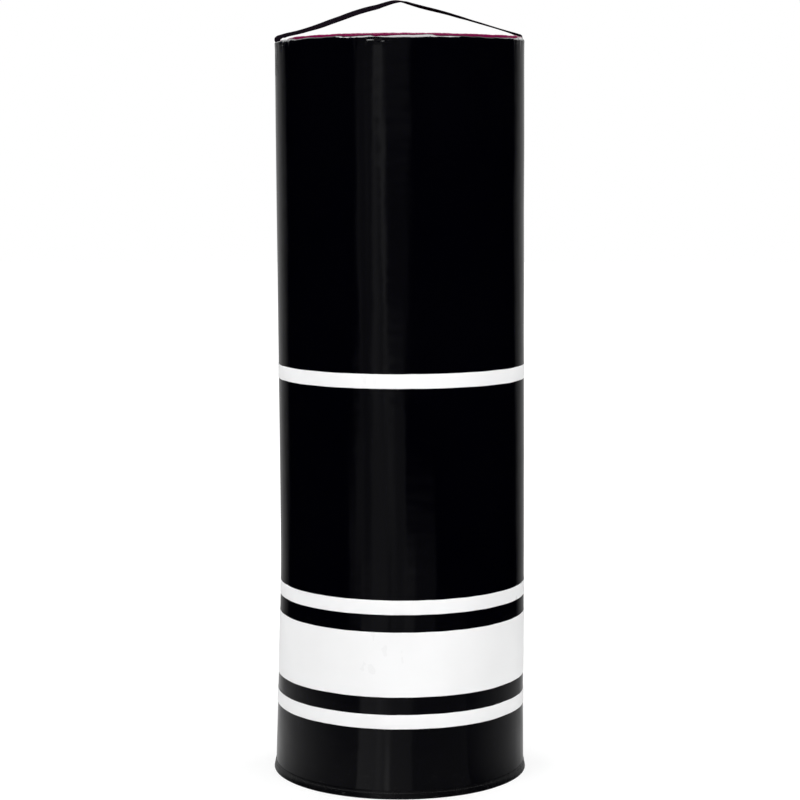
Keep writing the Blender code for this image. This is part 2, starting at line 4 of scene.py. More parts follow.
import bmesh
import bpy
from mathutils import Matrix, Vector, noise
from mathutils.bvhtree import BVHTree

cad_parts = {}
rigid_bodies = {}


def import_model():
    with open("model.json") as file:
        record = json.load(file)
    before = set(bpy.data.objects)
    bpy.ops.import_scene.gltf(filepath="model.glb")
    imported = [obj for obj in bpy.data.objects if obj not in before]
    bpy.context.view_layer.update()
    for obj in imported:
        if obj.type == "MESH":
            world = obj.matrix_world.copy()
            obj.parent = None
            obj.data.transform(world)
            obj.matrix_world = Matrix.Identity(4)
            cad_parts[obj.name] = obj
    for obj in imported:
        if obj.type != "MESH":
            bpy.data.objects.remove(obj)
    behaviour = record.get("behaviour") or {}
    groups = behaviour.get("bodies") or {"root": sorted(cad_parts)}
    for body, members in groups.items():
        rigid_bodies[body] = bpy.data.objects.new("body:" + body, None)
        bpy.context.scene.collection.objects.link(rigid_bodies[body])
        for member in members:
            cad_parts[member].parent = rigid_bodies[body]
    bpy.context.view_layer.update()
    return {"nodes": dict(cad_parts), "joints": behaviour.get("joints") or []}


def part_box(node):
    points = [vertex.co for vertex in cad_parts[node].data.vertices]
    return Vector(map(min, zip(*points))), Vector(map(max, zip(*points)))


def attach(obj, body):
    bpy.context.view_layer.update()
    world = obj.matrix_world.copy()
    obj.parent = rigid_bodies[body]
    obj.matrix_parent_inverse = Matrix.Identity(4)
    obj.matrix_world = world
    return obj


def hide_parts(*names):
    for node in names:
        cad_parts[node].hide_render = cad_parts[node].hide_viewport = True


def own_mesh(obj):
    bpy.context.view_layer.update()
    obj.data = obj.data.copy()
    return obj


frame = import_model()

fullTurn = 2 * math.pi
backAngle = math.pi / 2
clearance = 0.0003
mergeReach = 0.00001  # corners nearer than this are one corner
print("Frame loaded")


# Working with objects as by hand

def deselectAll():
    for thing in bpy.context.scene.objects:
        thing.select_set(False)


def pick(thing):
    deselectAll()
    thing.select_set(True)
    bpy.context.view_layer.objects.active = thing


def added(name):
    # the primitive that an operator has just made
    thing = bpy.context.active_object
    thing.name = name
    thing.data.name = name
    return thing


def linked(name, data):
    thing = bpy.data.objects.new(name, data)
    bpy.context.scene.collection.objects.link(thing)
    return thing


def openEdit(thing):
    pick(thing)
    bpy.ops.object.mode_set(mode="EDIT")
    return bmesh.from_edit_mesh(thing.data)


def closeEdit():
    bpy.ops.object.mode_set(mode="OBJECT")


def selectAll():
    bpy.ops.mesh.select_all(action="SELECT")


def selectWhere(thing, kind, test):
    # kind is FACE or EDGE
    mesh = bmesh.from_edit_mesh(thing.data)
    bpy.ops.mesh.select_mode(type=kind)
    bpy.ops.mesh.select_all(action="DESELECT")
    for part in mesh.faces if kind == "FACE" else mesh.edges:
        part.select_set(test(part))
    bmesh.update_edit_mesh(thing.data)


def cutAcross(place, normal):
    # new edges where a plane crosses the whole mesh
    selectAll()
    bpy.ops.mesh.bisect(plane_co=place, plane_no=normal)


def moveCorners(thing, move):
    # in edit mode, each corner is handed to a function that sets it
    mesh = bmesh.from_edit_mesh(thing.data)
    for corner in mesh.verts:
        move(corner.co)
    bmesh.update_edit_mesh(thing.data)


def applyModifiers(thing):
    pick(thing)
    for modifier in list(thing.modifiers):
        bpy.ops.object.modifier_apply(modifier=modifier.name)


def addWall(thing, thickness, offset=-1.0):
    wall = thing.modifiers.new("wall", "SOLIDIFY")
    wall.thickness = thickness
    wall.offset = offset
    wall.use_even_offset = False


def addBevel(thing, width, angle=35):
    bevel = thing.modifiers.new("roundedEdges", "BEVEL")
    bevel.width = width
    bevel.segments = 2
    bevel.limit_method = "ANGLE"
    bevel.angle_limit = math.radians(angle)
    bevel.harden_normals = False


def giveWall(thing, thickness, offset=-1.0, edgeRound=0.0, angle=35):
    # an open sheet gets its thickness, and rounded edges where a radius is given
    addWall(thing, thickness, offset)
    if edgeRound:
        addBevel(thing, edgeRound, angle)
    applyModifiers(thing)


def turnFacesOut():
    selectAll()
    bpy.ops.mesh.normals_make_consistent(inside=False)


def tidyFaces(thing):
    # merges what meets and turns every face outwards
    openEdit(thing)
    selectAll()
    bpy.ops.mesh.remove_doubles(threshold=mergeReach)
    turnFacesOut()
    closeEdit()


def flipFaces(thing):
    openEdit(thing)
    selectAll()
    bpy.ops.mesh.flip_normals()
    closeEdit()


def turnOutwards(thing):
    # an open sheet on the bag faces away from the axis
    faces = thing.data.polygons
    if sum(f.area * (f.normal.x * f.center.x + f.normal.y * f.center.y) for f in faces) < 0:
        flipFaces(thing)


def closeRims(thing, reach=math.inf, poke=False):
    # fills the open rims that lie nearer to the axis than a reach
    openEdit(thing)
    selectWhere(thing, "EDGE", lambda e: e.is_boundary and all(v.co.xy.length < reach for v in e.verts))
    bpy.ops.mesh.edge_face_add()
    if poke:
        bpy.ops.mesh.poke()
    turnFacesOut()
    closeEdit()


def joinAll(things):
    deselectAll()
    for thing in things:
        thing.select_set(True)
    bpy.context.view_layer.objects.active = things[0]
    bpy.ops.object.join()
    return things[0]


def finishPiece(thing, look, nodes=(), sharp=40, body="bag"):
    pick(thing)
    bpy.ops.object.transform_apply(location=True, rotation=True, scale=True)
    bpy.ops.object.shade_smooth_by_angle(angle=math.radians(sharp))
    thing.data.materials.clear()
    thing.data.materials.append(look)
    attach(thing, body)
    if nodes:
        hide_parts(*nodes)
    return thing


# Sizes that the frame gives

def cornersOf(node):
    return [corner.co for corner in frame["nodes"][node].data.vertices]


def nodeReach(node, low, high):
    # the largest distance from the bag's axis among a CAD node's corners between two heights
    return max(math.hypot(c.x, c.y) for c in cornersOf(node) if low <= c.z <= high)


coverLow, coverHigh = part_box("cover_side_panel")
bindingLow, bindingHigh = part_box("top_binding_front")
joints = {joint["name"]: joint for joint in frame["joints"]}
strapAnchor = Vector(joints["strap_fold"]["pos_m"])
strapTurn = math.atan2(-strapAnchor.y, -strapAnchor.x)
anchorRadius = math.hypot(strapAnchor.x, strapAnchor.y)
bagTop = bindingLow.z
bodyRadius = nodeReach("cover_side_panel", bagTop / 2, bagTop - 0.005)
footRadius = nodeReach("cover_side_panel", 0.0, coverLow.z + clearance)


# Places round the bag

def smoothStep(low, high, value):
    share = min(1.0, max(0.0, (value - low) / (high - low)))
    return share * share * (3 - 2 * share)


def spread(low, high, count):
    return [low + (high - low) * i / (count - 1) for i in range(count)]


def levels(low, high, step):
    return spread(low, high, max(2, round((high - low) / step) + 1))


def between(points, place, soft=True):
    # the values that a table of points gives at a place, easing from one point to the next
    if place <= points[0][0]:
        return points[0][1:]
    for first, second in zip(points, points[1:]):
        if place <= second[0]:
            share = (place - first[0]) / (second[0] - first[0])
            if soft:
                share = smoothStep(first[0], second[0], place)
            return tuple(a + (b - a) * share for a, b in zip(first[1:], second[1:]))
    return points[-1][1:]


def ringPoint(angle, radius, height):
    return Vector((radius * math.cos(angle), radius * math.sin(angle), height))


def ringNoise(angle, across, height, side=0.0):
    # an even noise round the bag, from about -1 to 1
    return noise.noise((math.cos(angle) * across + side, math.sin(angle) * across, height))


def turnBetween(angle, other):
    return (angle - other + math.pi) % fullTurn - math.pi


def offBack(angle):
    return abs(turnBetween(angle, backAngle))


def turnFromFront(angle):
    # degrees to the right of the front, from -180 to 180
    return math.degrees(turnBetween(angle, -backAngle))


# The form of the whole bag, which every outer piece follows

bagForm = {
    "flareHeight": 0.40,
    "flarePower": 1.35,
    "fillSwell": 0.0010,  # how far the filling pushes the cover out past the CAD radius
    "foldDepth": 0.00055,
    "fineShare": 0.22,
    "dentDepth": 0.0007,
    "rippleDepth": 0.00009,
    # folds, fine folds, dents, ripples: waves round the bag, waves up it, where the pattern starts
    "waves": ((2.6, 2.2, 0, 0), (9, 5, 7, 0), (1.4, 6, 0, 20), (15, 17, 3, 0)),
    "stillBack": (0.10, 0.35),  # the folds fade out towards the zip, between these angles off it
}

# how far the filled bag leans to the right at each height, because its foam has settled unevenly
leanPoints = [
    (0.0, -0.0006), (0.05, -0.0002), (0.12, 0.0009), (0.20, 0.0021), (0.28, 0.0034), (0.36, 0.0046),
    (0.42, 0.0048), (0.52, 0.0043), (0.69, 0.0031), (0.87, 0.0020), (1.04, 0.0010), (1.22, -0.0001),
    (1.40, -0.0012),
]

# how far the top rim stands above its even height: degrees to the right of the front, rise
rimPoints = [
    (-180, 0.0), (-150, -0.0006), (-125, -0.0016), (-100, -0.0025), (-75, -0.0024), (-55, -0.0016),
    (-40, -0.0008), (-20, -0.0002), (0, 0.0), (45, 0.0002), (62, 0.0016), (75, 0.0042), (88, 0.0058),
    (104, 0.0058), (125, 0.0030), (150, 0.0008), (180, 0.0),
]


def bowAt(height):
    return between(leanPoints, height, soft=False)[0]


def rimRise(angle):
    return between(rimPoints, turnFromFront(angle))[0]


def foldAt(angle, height):
    # long shallow waves that run up the cover, a few soft dents, and faint ripples
    wave, fine, dent, ripple = [
        ringNoise(angle, across, height * up + rise, side) for across, up, rise, side in bagForm["waves"]
    ]
    depth = bagForm["foldDepth"] * (wave + bagForm["fineShare"] * fine)
    depth += bagForm["dentDepth"] * min(0.0, dent + 0.1)
    depth += bagForm["rippleDepth"] * ripple
    return depth * smoothStep(*bagForm["stillBack"], offBack(angle))


def coverRadius(angle, height):
    low = max(0.0, 1 - height / bagForm["flareHeight"])
    flare = (footRadius - bodyRadius) * low ** bagForm["flarePower"]
    radius = bodyRadius + flare + bowAt(height) * math.cos(angle) + foldAt(angle, height)
    return radius + bagForm["fillSwell"] * smoothStep(*bagForm["stillBack"], offBack(angle))


def onCover(angle, height, out=0.0):
    return ringPoint(angle, coverRadius(angle, height) + out, height)


# waves round the bag and depth of each layer of the seam's gathers
puckerForm = {"slow": (6, 0.9), "quick": (19, 0.55), "fine": (43, 0.35), "tucks": (11, 0.8), "tuckSharp": 6}


def puckerAt(angle, seed=0.0):
    # how far the gathered cloth at the seam bulges, from about -1 to 1, with a few sharp tucks
    around = Vector((math.cos(angle), math.sin(angle), 0))
    total = 0.0
    for layer, start in (("slow", (seed, 0, 3)), ("quick", (seed, 5, 0)), ("fine", (3, 0, seed))):
        waves, depth = puckerForm[layer]
        total += depth * noise.noise(around * waves + Vector(start))
    waves, depth = puckerForm["tucks"]
    tuck = 1 - abs(noise.noise(around * waves + Vector((0, seed, 9)))) * puckerForm["tuckSharp"]
    return total - depth * max(0.0, tuck)


# Lofting: a row of points is extruded again and again, and each new row is set in place

def loftRows(name, rows, count, start=0.0, end=fullTurn):
    # a row holds the function that gives a point's place, and what it is told after the angle
    closed = abs(end - start - fullTurn) < 0.0001
    steps = count if closed else count - 1

    def setCorner(corner, number, row):
        corner.co = row[0](start + (end - start) * number / steps, *row[1:])

    deselectAll()
    bpy.ops.mesh.primitive_circle_add(vertices=count, radius=bodyRadius)
    thing = added(name)
    mesh = openEdit(thing)
    bpy.ops.mesh.select_mode(type="EDGE")
    if not closed:
        opened = [e for e in mesh.edges if {e.verts[0].index, e.verts[1].index} == {0, count - 1}]
        bmesh.ops.delete(mesh, geom=opened, context="EDGES_FACES")
        bmesh.update_edit_mesh(thing.data)
    selectAll()
    mesh = bmesh.from_edit_mesh(thing.data)
    mesh.verts.ensure_lookup_table()
    track = mesh.verts.layers.int.new("column")
    for number, corner in enumerate(mesh.verts):
        corner[track] = number
        setCorner(corner, number, rows[0])
    bmesh.update_edit_mesh(thing.data)
    for row in rows[1:]:
        bpy.ops.mesh.extrude_region_move(TRANSFORM_OT_translate={"value": (0, 0, 0)})
        mesh = bmesh.from_edit_mesh(thing.data)
        track = mesh.verts.layers.int["column"]
        for corner in mesh.verts:
            if corner.select:
                setCorner(corner, corner[track], row)
        bmesh.update_edit_mesh(thing.data)
    closeEdit()
    return thing


# Building shader nodes

def wire(tree, source, target):
    tree.links.new(source, target)


def feed(tree, value, socket):
    # another node's output is wired to the socket, and a plain value is set on it
    if isinstance(value, bpy.types.NodeSocket):
        wire(tree, value, socket)
    elif value is not None:
        socket.default_value = value


def newNode(tree, kind, **inputs):
    node = tree.nodes.new(kind)
    for label, value in inputs.items():
        feed(tree, value, node.inputs[label.replace("_", " ")])
    return node


def groupNode(tree, group, **inputs):
    node = tree.nodes.new("ShaderNodeGroup")
    node.node_tree = group
    for label, value in inputs.items():
        feed(tree, value, node.inputs[label.replace("_", " ")])
    return node


def mathNode(tree, operation, first, second=None):
    node = tree.nodes.new("ShaderNodeMath")
    node.operation = operation
    feed(tree, first, node.inputs[0])
    feed(tree, second, node.inputs[1])
    return node.outputs[0]


def times(tree, first, second):
    return mathNode(tree, "MULTIPLY", first, second)


def plus(tree, first, second):
    return mathNode(tree, "ADD", first, second)


def objectPlace(tree):
    return newNode(tree, "ShaderNodeTexCoord").outputs["Object"]


def stretched(tree, vector, scale):
    return newNode(tree, "ShaderNodeMapping", Vector=vector, Scale=scale).outputs[0]


def partsOf(tree, vector):
    return newNode(tree, "ShaderNodeSeparateXYZ", Vector=vector).outputs


def lengthOf(tree, vector):
    node = newNode(tree, "ShaderNodeVectorMath")
    node.operation = "LENGTH"
    wire(tree, vector, node.inputs[0])
    return node.outputs["Value"]


def noiseNode(tree, vector, scale, detail=2.0, roughness=0.5):
    node = newNode(tree, "ShaderNodeTexNoise", Vector=vector, Scale=scale, Detail=detail, Roughness=roughness)
    return node.outputs["Fac"]


def cellNode(tree, vector, scale):
    return newNode(tree, "ShaderNodeTexVoronoi", Vector=vector, Scale=scale).outputs


def rangeNode(tree, value, low, high, toLow=0.0, toHigh=1.0):
    node = newNode(
        tree, "ShaderNodeMapRange", Value=value, From_Min=low, From_Max=high, To_Min=toLow, To_Max=toHigh
    )
    node.clamp = True
    return node.outputs["Result"]


def mixColours(tree, share, first, second):
    mix = tree.nodes.new("ShaderNodeMix")
    mix.data_type = "RGBA"
    feed(tree, share, mix.inputs[0])
    for place, colour in ((6, first), (7, second)):
        feed(tree, (*colour, 1.0) if isinstance(colour, tuple) else colour, mix.inputs[place])
    return mix.outputs[2]


def newGroup(name, inputs, outputs):
    # an input without a value is a vector
    group = bpy.data.node_groups.new(name, "ShaderNodeTree")
    for label, value in inputs.items():
        kind = "NodeSocketVector" if value is None else "NodeSocketFloat"
        socket = group.interface.new_socket(name=label, in_out="INPUT", socket_type=kind)
        if value is not None:
            socket.default_value = value
    for label, kind in outputs.items():
        group.interface.new_socket(name=label, in_out="OUTPUT", socket_type=kind)
    return group, group.nodes.new("NodeGroupInput").outputs, group.nodes.new("NodeGroupOutput").inputs


# Shader groups for the effects that several finishes share

def makeAroundGroup():
    # object coordinates unrolled round the bag's axis: arc length, distance from the axis, height
    group, start, end = newGroup("unrolledPlace", {"Radius": 0.228}, {"Place": "NodeSocketVector"})
    parts = partsOf(group, objectPlace(group))
    # the join of the unrolled sheet lies at the left, so the angle is measured from the right
    arc = times(group, mathNode(group, "ARCTAN2", parts["Y"], parts["X"]), start["Radius"])
    flat = newNode(group, "ShaderNodeCombineXYZ", X=parts["X"], Y=parts["Y"]).outputs[0]
    joined = newNode(group, "ShaderNodeCombineXYZ", X=arc, Y=lengthOf(group, flat), Z=parts["Z"])
    wire(group, joined.outputs[0], end["Place"])
    return group


skinValues = {
    "smudges": (9.0, 4.0, 0.62),  # scale, detail, roughness
    "strokes": (60, 60, 2.2),  # how fine the handling marks are, across and up
    "strokeShare": 0.25,
    "glossSpan": (0.35, 0.65),
    "scratches": (55, 55, 240),
    "scratchSpan": (0.60, 0.72),
    "scuffRough": 0.25,
    "clouds": 4.0,  # how fine the slow change of colour is
    "cloudSpan": (0.35, 0.65),
    "ripples": (16, 16, 40),
}


def makeSkinGroup():
    # calendered vinyl: fine grain, faint handling marks and a slow change of gloss
    group, start, end = newGroup(
        "vinylSkin", {"Grain Size": 900.0, "Gloss Low": 0.14, "Gloss High": 0.26, "Scuff Height": 0.12},
        {"Grain": "NodeSocketFloat", "Roughness": "NodeSocketFloat", "Scuffs": "NodeSocketFloat"},
    )
    place = objectPlace(group)
    wire(group, noiseNode(group, place, start["Grain Size"], 3.0, 0.6), end["Grain"])
    smudge = times(group, noiseNode(group, place, *skinValues["smudges"]), 1 - skinValues["strokeShare"])
    strokes = noiseNode(group, stretched(group, place, skinValues["strokes"]), 1.0)
    mixed = plus(group, smudge, times(group, strokes, skinValues["strokeShare"]))
    gloss = rangeNode(group, mixed, *skinValues["glossSpan"], start["Gloss Low"], start["Gloss High"])
    # scuffs gather near the floor, as short marks
    low = rangeNode(group, partsOf(group, place)["Z"], 0.0, start["Scuff Height"], 1.0, 0.0)
    scratch = noiseNode(group, stretched(group, place, skinValues["scratches"]), 1.0, 5.0, 0.7)
    scuffs = times(group, low, rangeNode(group, scratch, *skinValues["scratchSpan"]))
    wire(group, plus(group, gloss, times(group, scuffs, skinValues["scuffRough"])), end["Roughness"])
    wire(group, scuffs, end["Scuffs"])
    return group


weaveValues = {"weftDepth": 0.6, "fuzzSize": 1800.0, "fuzzShare": 0.3}


def makeWeaveGroup():
    # webbing: ribs along the strap, crossed by the weft
    group, start, end = newGroup(
        "webbingWeave", {"Vector": None, "Ribs": 700.0, "Wefts": 900.0},
        {"Height": "NodeSocketFloat", "Shade": "NodeSocketFloat"},
    )
    parts = partsOf(group, start["Vector"])
    across = times(group, parts["X"], start["Ribs"])
    along = times(group, parts["Y"], start["Wefts"])
    shifted = plus(group, along, times(group, mathNode(group, "FLOOR", across), 0.5))
    rib = mathNode(group, "SINE", times(group, mathNode(group, "FRACT", across), math.pi))
    weft = mathNode(group, "ABSOLUTE", mathNode(group, "SINE", times(group, shifted, math.pi)))
    deep = weaveValues["weftDepth"]
    height = times(group, rib, plus(group, times(group, weft, deep), 1 - deep))
    fuzz = times(group, noiseNode(group, start["Vector"], weaveValues["fuzzSize"]), weaveValues["fuzzShare"])
    wire(group, height, end["Height"])
    wire(group, plus(group, times(group, height, 1 - weaveValues["fuzzShare"]), fuzz), end["Shade"])
    return group


def makeSpeckGroup():
    # chopped foam pressed together, or an open-cell sheet
    group, start, end = newGroup(
        "foamCells", {"Chip Size": 60.0, "Cell Size": 900.0},
        {"Chips": "NodeSocketColor", "Cells": "NodeSocketFloat"},
    )
    place = objectPlace(group)
    wire(group, cellNode(group, place, start["Chip Size"])["Color"], end["Chips"])
    wire(group, cellNode(group, place, start["Cell Size"])["Distance"], end["Cells"])
    return group


aroundGroup = makeAroundGroup()
skinGroup = makeSkinGroup()
weaveGroup = makeWeaveGroup()
speckGroup = makeSpeckGroup()


# Finishes

def newFinish(name, specular=0.5, roughness=0.5, metallic=0.0):
    look = bpy.data.materials.new(name)
    look.use_nodes = True
    shader = look.node_tree.nodes["Principled BSDF"]
    shader.inputs["Roughness"].default_value = roughness
    shader.inputs["Metallic"].default_value = metallic
    shader.inputs["Specular IOR Level"].default_value = specular
    return look, look.node_tree, shader.inputs


def bumpInto(tree, sockets, height, distance):
    bump = newNode(tree, "ShaderNodeBump", Height=height, Distance=distance, Strength=1.0)
    wire(tree, bump.outputs[0], sockets["Normal"])


def paint(tree, sockets, share, dark, pale):
    wire(tree, mixColours(tree, share, dark, pale), sockets["Base Color"])


def setGloss(tree, sockets, value, low, high, toLow, toHigh):
    wire(tree, rangeNode(tree, value, low, high, toLow, toHigh), sockets["Roughness"])


vinylFinishes = {
    "coverVinyl": {
        "dark": (0.0001, 0.0001, 0.0010), "pale": (0.0004, 0.0004, 0.0013), "scuff": (0.012, 0.012, 0.012),
        "gloss": (0.07, 0.13), "grain": 0.000008, "specular": 0.42, "scuffHeight": 0.10, "ripple": 0.00040,
    },
    "weltVinyl": {
        "dark": (0.0007, 0.0007, 0.0014), "pale": (0.0016, 0.0016, 0.0024), "scuff": (0.02, 0.02, 0.02),
        "gloss": (0.2, 0.34), "grain": 0.000018, "specular": 0.42, "scuffHeight": 0.03, "ripple": 0.0002,
    },
    "crimsonVinyl": {
        "dark": (0.13, 0.0015, 0.036), "pale": (0.20, 0.003, 0.060), "scuff": (0.24, 0.03, 0.07),
        "gloss": (0.24, 0.36), "grain": 0.00002, "specular": 0.08, "scuffHeight": 0.001, "ripple": 0.0002,
    },
    "whiteVinyl": {
        "dark": (0.88, 0.88, 0.883), "pale": (0.93, 0.93, 0.933), "scuff": (0.80, 0.80, 0.79),
        "gloss": (0.26, 0.40), "grain": 0.000010, "specular": 0.45, "scuffHeight": 0.17, "ripple": 0.0002,
    },
}


def makeVinyl(name):
    values = vinylFinishes[name]
    look, tree, sockets = newFinish(name, values["specular"])
    low, high = values["gloss"]
    skin = groupNode(
        tree, skinGroup, Gloss_Low=low, Gloss_High=high, Scuff_Height=values["scuffHeight"]
    ).outputs
    place = objectPlace(tree)
    cloud = rangeNode(tree, noiseNode(tree, place, skinValues["clouds"], 3.0), *skinValues["cloudSpan"])
    base = mixColours(tree, cloud, values["dark"], values["pale"])
    paint(tree, sockets, skin["Scuffs"], base, values["scuff"])
    wire(tree, skin["Roughness"], sockets["Roughness"])
    # short shallow ripples, wider than they are tall, with the fine grain on top
    wide = stretched(tree, place, skinValues["ripples"])
    ripple = times(tree, noiseNode(tree, wide, 1.0, 1.0), values["ripple"])
    bumpInto(tree, sockets, plus(tree, ripple, times(tree, skin["Grain"], values["grain"])), 1.0)
    return look


webbingFinishes = {
    "strapWebbing": {
        "dark": (0.0030, 0.0018, 0.0033), "pale": (0.0110, 0.0075, 0.0120),
        "ribs": 22.0, "wefts": 300.0, "depth": 0.0005, "fromUv": True,
    },
    "tailWebbing": {
        "dark": (0.002, 0.002, 0.0022), "pale": (0.014, 0.012, 0.015),
        "ribs": 550.0, "wefts": 700.0, "depth": 0.0005,
    },
    "innerWebbing": {
        "dark": (0.09, 0.09, 0.095), "pale": (0.24, 0.24, 0.25),
        "ribs": 550.0, "wefts": 750.0, "depth": 0.0003,
    },
    "zipTape": {
        "dark": (0.004, 0.004, 0.004), "pale": (0.022, 0.022, 0.023),
        "ribs": 1100.0, "wefts": 1300.0, "depth": 0.00018,
    },
}


weaveGloss = (0.85, 0.62)  # roughness of the dark and of the pale parts
threadGloss = (0.7, 0.5)
plainSpan = (0.3, 0.7)  # the part of a noise's range that takes up the whole gloss


def makeWebbing(name):
    values = webbingFinishes[name]
    look, tree, sockets = newFinish(name, specular=0.0)
    if "fromUv" in values:
        vector = newNode(tree, "ShaderNodeTexCoord").outputs["UV"]
    else:
        around = groupNode(tree, aroundGroup, Radius=bodyRadius).outputs["Place"]
        vector = newNode(tree, "ShaderNodeMapping", Vector=around, Rotation=(-math.pi / 2, 0, 0)).outputs[0]
    weave = groupNode(tree, weaveGroup, Vector=vector, Ribs=values["ribs"], Wefts=values["wefts"]).outputs
    paint(tree, sockets, weave["Shade"], values["dark"], values["pale"])
    setGloss(tree, sockets, weave["Shade"], 0.0, 1.0, *weaveGloss)
    bumpInto(tree, sockets, weave["Height"], values["depth"])
    return look


threadFinishes = {
    "blackThread": {"dark": (0.006, 0.006, 0.006), "pale": (0.03, 0.03, 0.032)},
    "crimsonThread": {"dark": (0.06, 0.004, 0.014), "pale": (0.17, 0.012, 0.045)},
}
threadTwist = {"scale": 900, "distortion": 1.5, "depth": 0.0001}


def makeThread(name):
    look, tree, sockets = newFinish(name, specular=0.35)
    twist = newNode(
        tree, "ShaderNodeTexWave", Vector=objectPlace(tree),
        Scale=threadTwist["scale"], Distortion=threadTwist["distortion"],
    )
    twist.bands_direction = "DIAGONAL"
    share = twist.outputs["Fac"]
    paint(tree, sockets, share, threadFinishes[name]["dark"], threadFinishes[name]["pale"])
    setGloss(tree, sockets, share, 0.0, 1.0, *threadGloss)
    bumpInto(tree, sockets, share, threadTwist["depth"])
    return look


# pattern: scale, detail and roughness of the noise that mottles it
plainFinishes = {
    "zipPlastic": {
        "dark": (0.006, 0.006, 0.006), "pale": (0.02, 0.02, 0.021), "pattern": (260.0, 3.0, 0.5),
        "gloss": (0.28, 0.45), "specular": 0.45, "depth": 0.00003,
    },
    "wearRubber": {
        "dark": (0.008, 0.008, 0.008), "pale": (0.035, 0.033, 0.03), "pattern": (12.0, 5.0, 0.6),
        "gloss": (0.7, 0.92), "specular": 0.3, "depth": 0.0006, "cells": 240,
    },
    "linerFilm": {
        "dark": (0.5, 0.52, 0.54), "pale": (0.68, 0.70, 0.72), "pattern": (30.0, 6.0, 0.65),
        "gloss": (0.25, 0.5), "specular": 0.5, "depth": 0.002,
    },
}


def makePlain(name):
    values = plainFinishes[name]
    look, tree, sockets = newFinish(name, values["specular"])
    place = objectPlace(tree)
    pattern = noiseNode(tree, place, *values["pattern"])
    paint(tree, sockets, pattern, values["dark"], values["pale"])
    setGloss(tree, sockets, pattern, *plainSpan, *values["gloss"])
    height = cellNode(tree, place, values["cells"])["Distance"] if "cells" in values else pattern
    bumpInto(tree, sockets, height, values["depth"])
    return look


metalFinish = {
    "dark": (0.05, 0.05, 0.054), "pale": (0.11, 0.11, 0.115), "worn": (0.30, 0.29, 0.27),
    "brushing": (2600, 2600, 160), "wear": (190.0, 5.0, 0.65), "wearSpan": (0.52, 0.66),
    "gloss": (0.24, 0.42), "depth": 0.00002,
}


def makeZipMetal():
    look, tree, sockets = newFinish("zipMetal", metallic=1.0)
    place = objectPlace(tree)
    lines = noiseNode(tree, stretched(tree, place, metalFinish["brushing"]), 1.0)
    wear = rangeNode(tree, noiseNode(tree, place, *metalFinish["wear"]), *metalFinish["wearSpan"])
    plated = mixColours(tree, lines, metalFinish["dark"], metalFinish["pale"])
    paint(tree, sockets, wear, plated, metalFinish["worn"])
    setGloss(tree, sockets, lines, *plainSpan, *metalFinish["gloss"])
    bumpInto(tree, sockets, lines, metalFinish["depth"])
    return look


cellDepth = 0.0008
foamFinishes = {
    "rollFoam": {
        "first": (0.24, 0.24, 0.26), "second": (0.33, 0.33, 0.35),
        "chips": 30.0, "cells": 1100.0, "mix": 0.25,
    },
    "rebondFoam": {
        "first": (0.28, 0.24, 0.33), "second": (0.5, 0.47, 0.42),
        "chips": 85.0, "cells": 900.0, "mix": 0.9,
    },
}


def makeFoam(name):
    values = foamFinishes[name]
    look, tree, sockets = newFinish(name, 0.2, 0.95)
    cells = groupNode(tree, speckGroup, Chip_Size=values["chips"], Cell_Size=values["cells"]).outputs
    parts = newNode(tree, "ShaderNodeSeparateColor", Color=cells["Chips"]).outputs
    paint(tree, sockets, times(tree, parts[0], values["mix"]), values["first"], values["second"])
    bumpInto(tree, sockets, cells["Cells"], cellDepth)
    return look


coverVinyl, weltVinyl, crimsonVinyl, whiteVinyl = [makeVinyl(name) for name in vinylFinishes]
strapWebbing, tailWebbing, innerWebbing, zipTapeCloth = [makeWebbing(name) for name in webbingFinishes]
blackThread, crimsonThread = [makeThread(name) for name in threadFinishes]
zipPlastic, wearRubber, linerFilm = [makePlain(name) for name in plainFinishes]
zipMetal = makeZipMetal()
rollFoam, rebondFoam = [makeFoam(name) for name in foamFinishes]
print("Finishes made")


# Cover: the tall tube, turned over at the top where it is gathered into the seam

coverValues = {
    "columns": 620,
    "rowHeight": 0.026,
    "wall": 0.001,
    "shoulderRise": 0.0032,  # how far the rounded shoulder stands above the binding's foot
    "shoulderRadius": 0.0064,
    "shoulderTurns": (0, 15, 30, 44, 57, 69, 80, 90),
    "strapShoulder": (0.0016, 0.0032),  # its radius at the strap's left and right end
    "strapBulge": (0.0012, 0.0),  # how far each end pushes the seam outwards
    "strapSink": 0.0012,  # how far the strap presses the shoulder down
    "strapSpread": 0.10,  # angle over which that pull fades
    "strapHold": 0.9,  # share of the strap's width that pulls in full
    "strapStill": 0.7,  # share of the gathers that the strap presses flat
    "puckerOut": 0.0007,
    "puckerUp": 0.0007,
    "puckerReach": 0.011,  # how far down the gathers fade
    "rimReach": 0.035,  # how far down the wall the rim's rise and fall fades
    "creaseWidth": 0.0011,
    "tuckIn": 0.0012,  # how far the edge goes in and down inside the seam
    "tuckDown": 0.0014,
    "fineRows": 0.02,  # the rows lie closer over this height below the shoulder, at these drops
    "rowDrops": (
        0.015, 0.012, 0.0095, 0.0078, 0.0068, 0.0059, 0.0051, 0.0043, 0.0036, 0.0029, 0.0022, 0.0015, 0.0007,
    ),
    "slotHalfWidth": 0.007,
    "strapWidth": 0.040,  # of the webbing that goes through the seam
}
shoulderTop = bagTop + coverValues["shoulderRise"]
shoulderBase = shoulderTop - coverValues["shoulderRadius"]
strapWidth = coverValues["strapWidth"]
leftEnd, rightEnd = math.pi + strapTurn, strapTurn
endHalf = math.asin(strapWidth / 2 / anchorRadius)

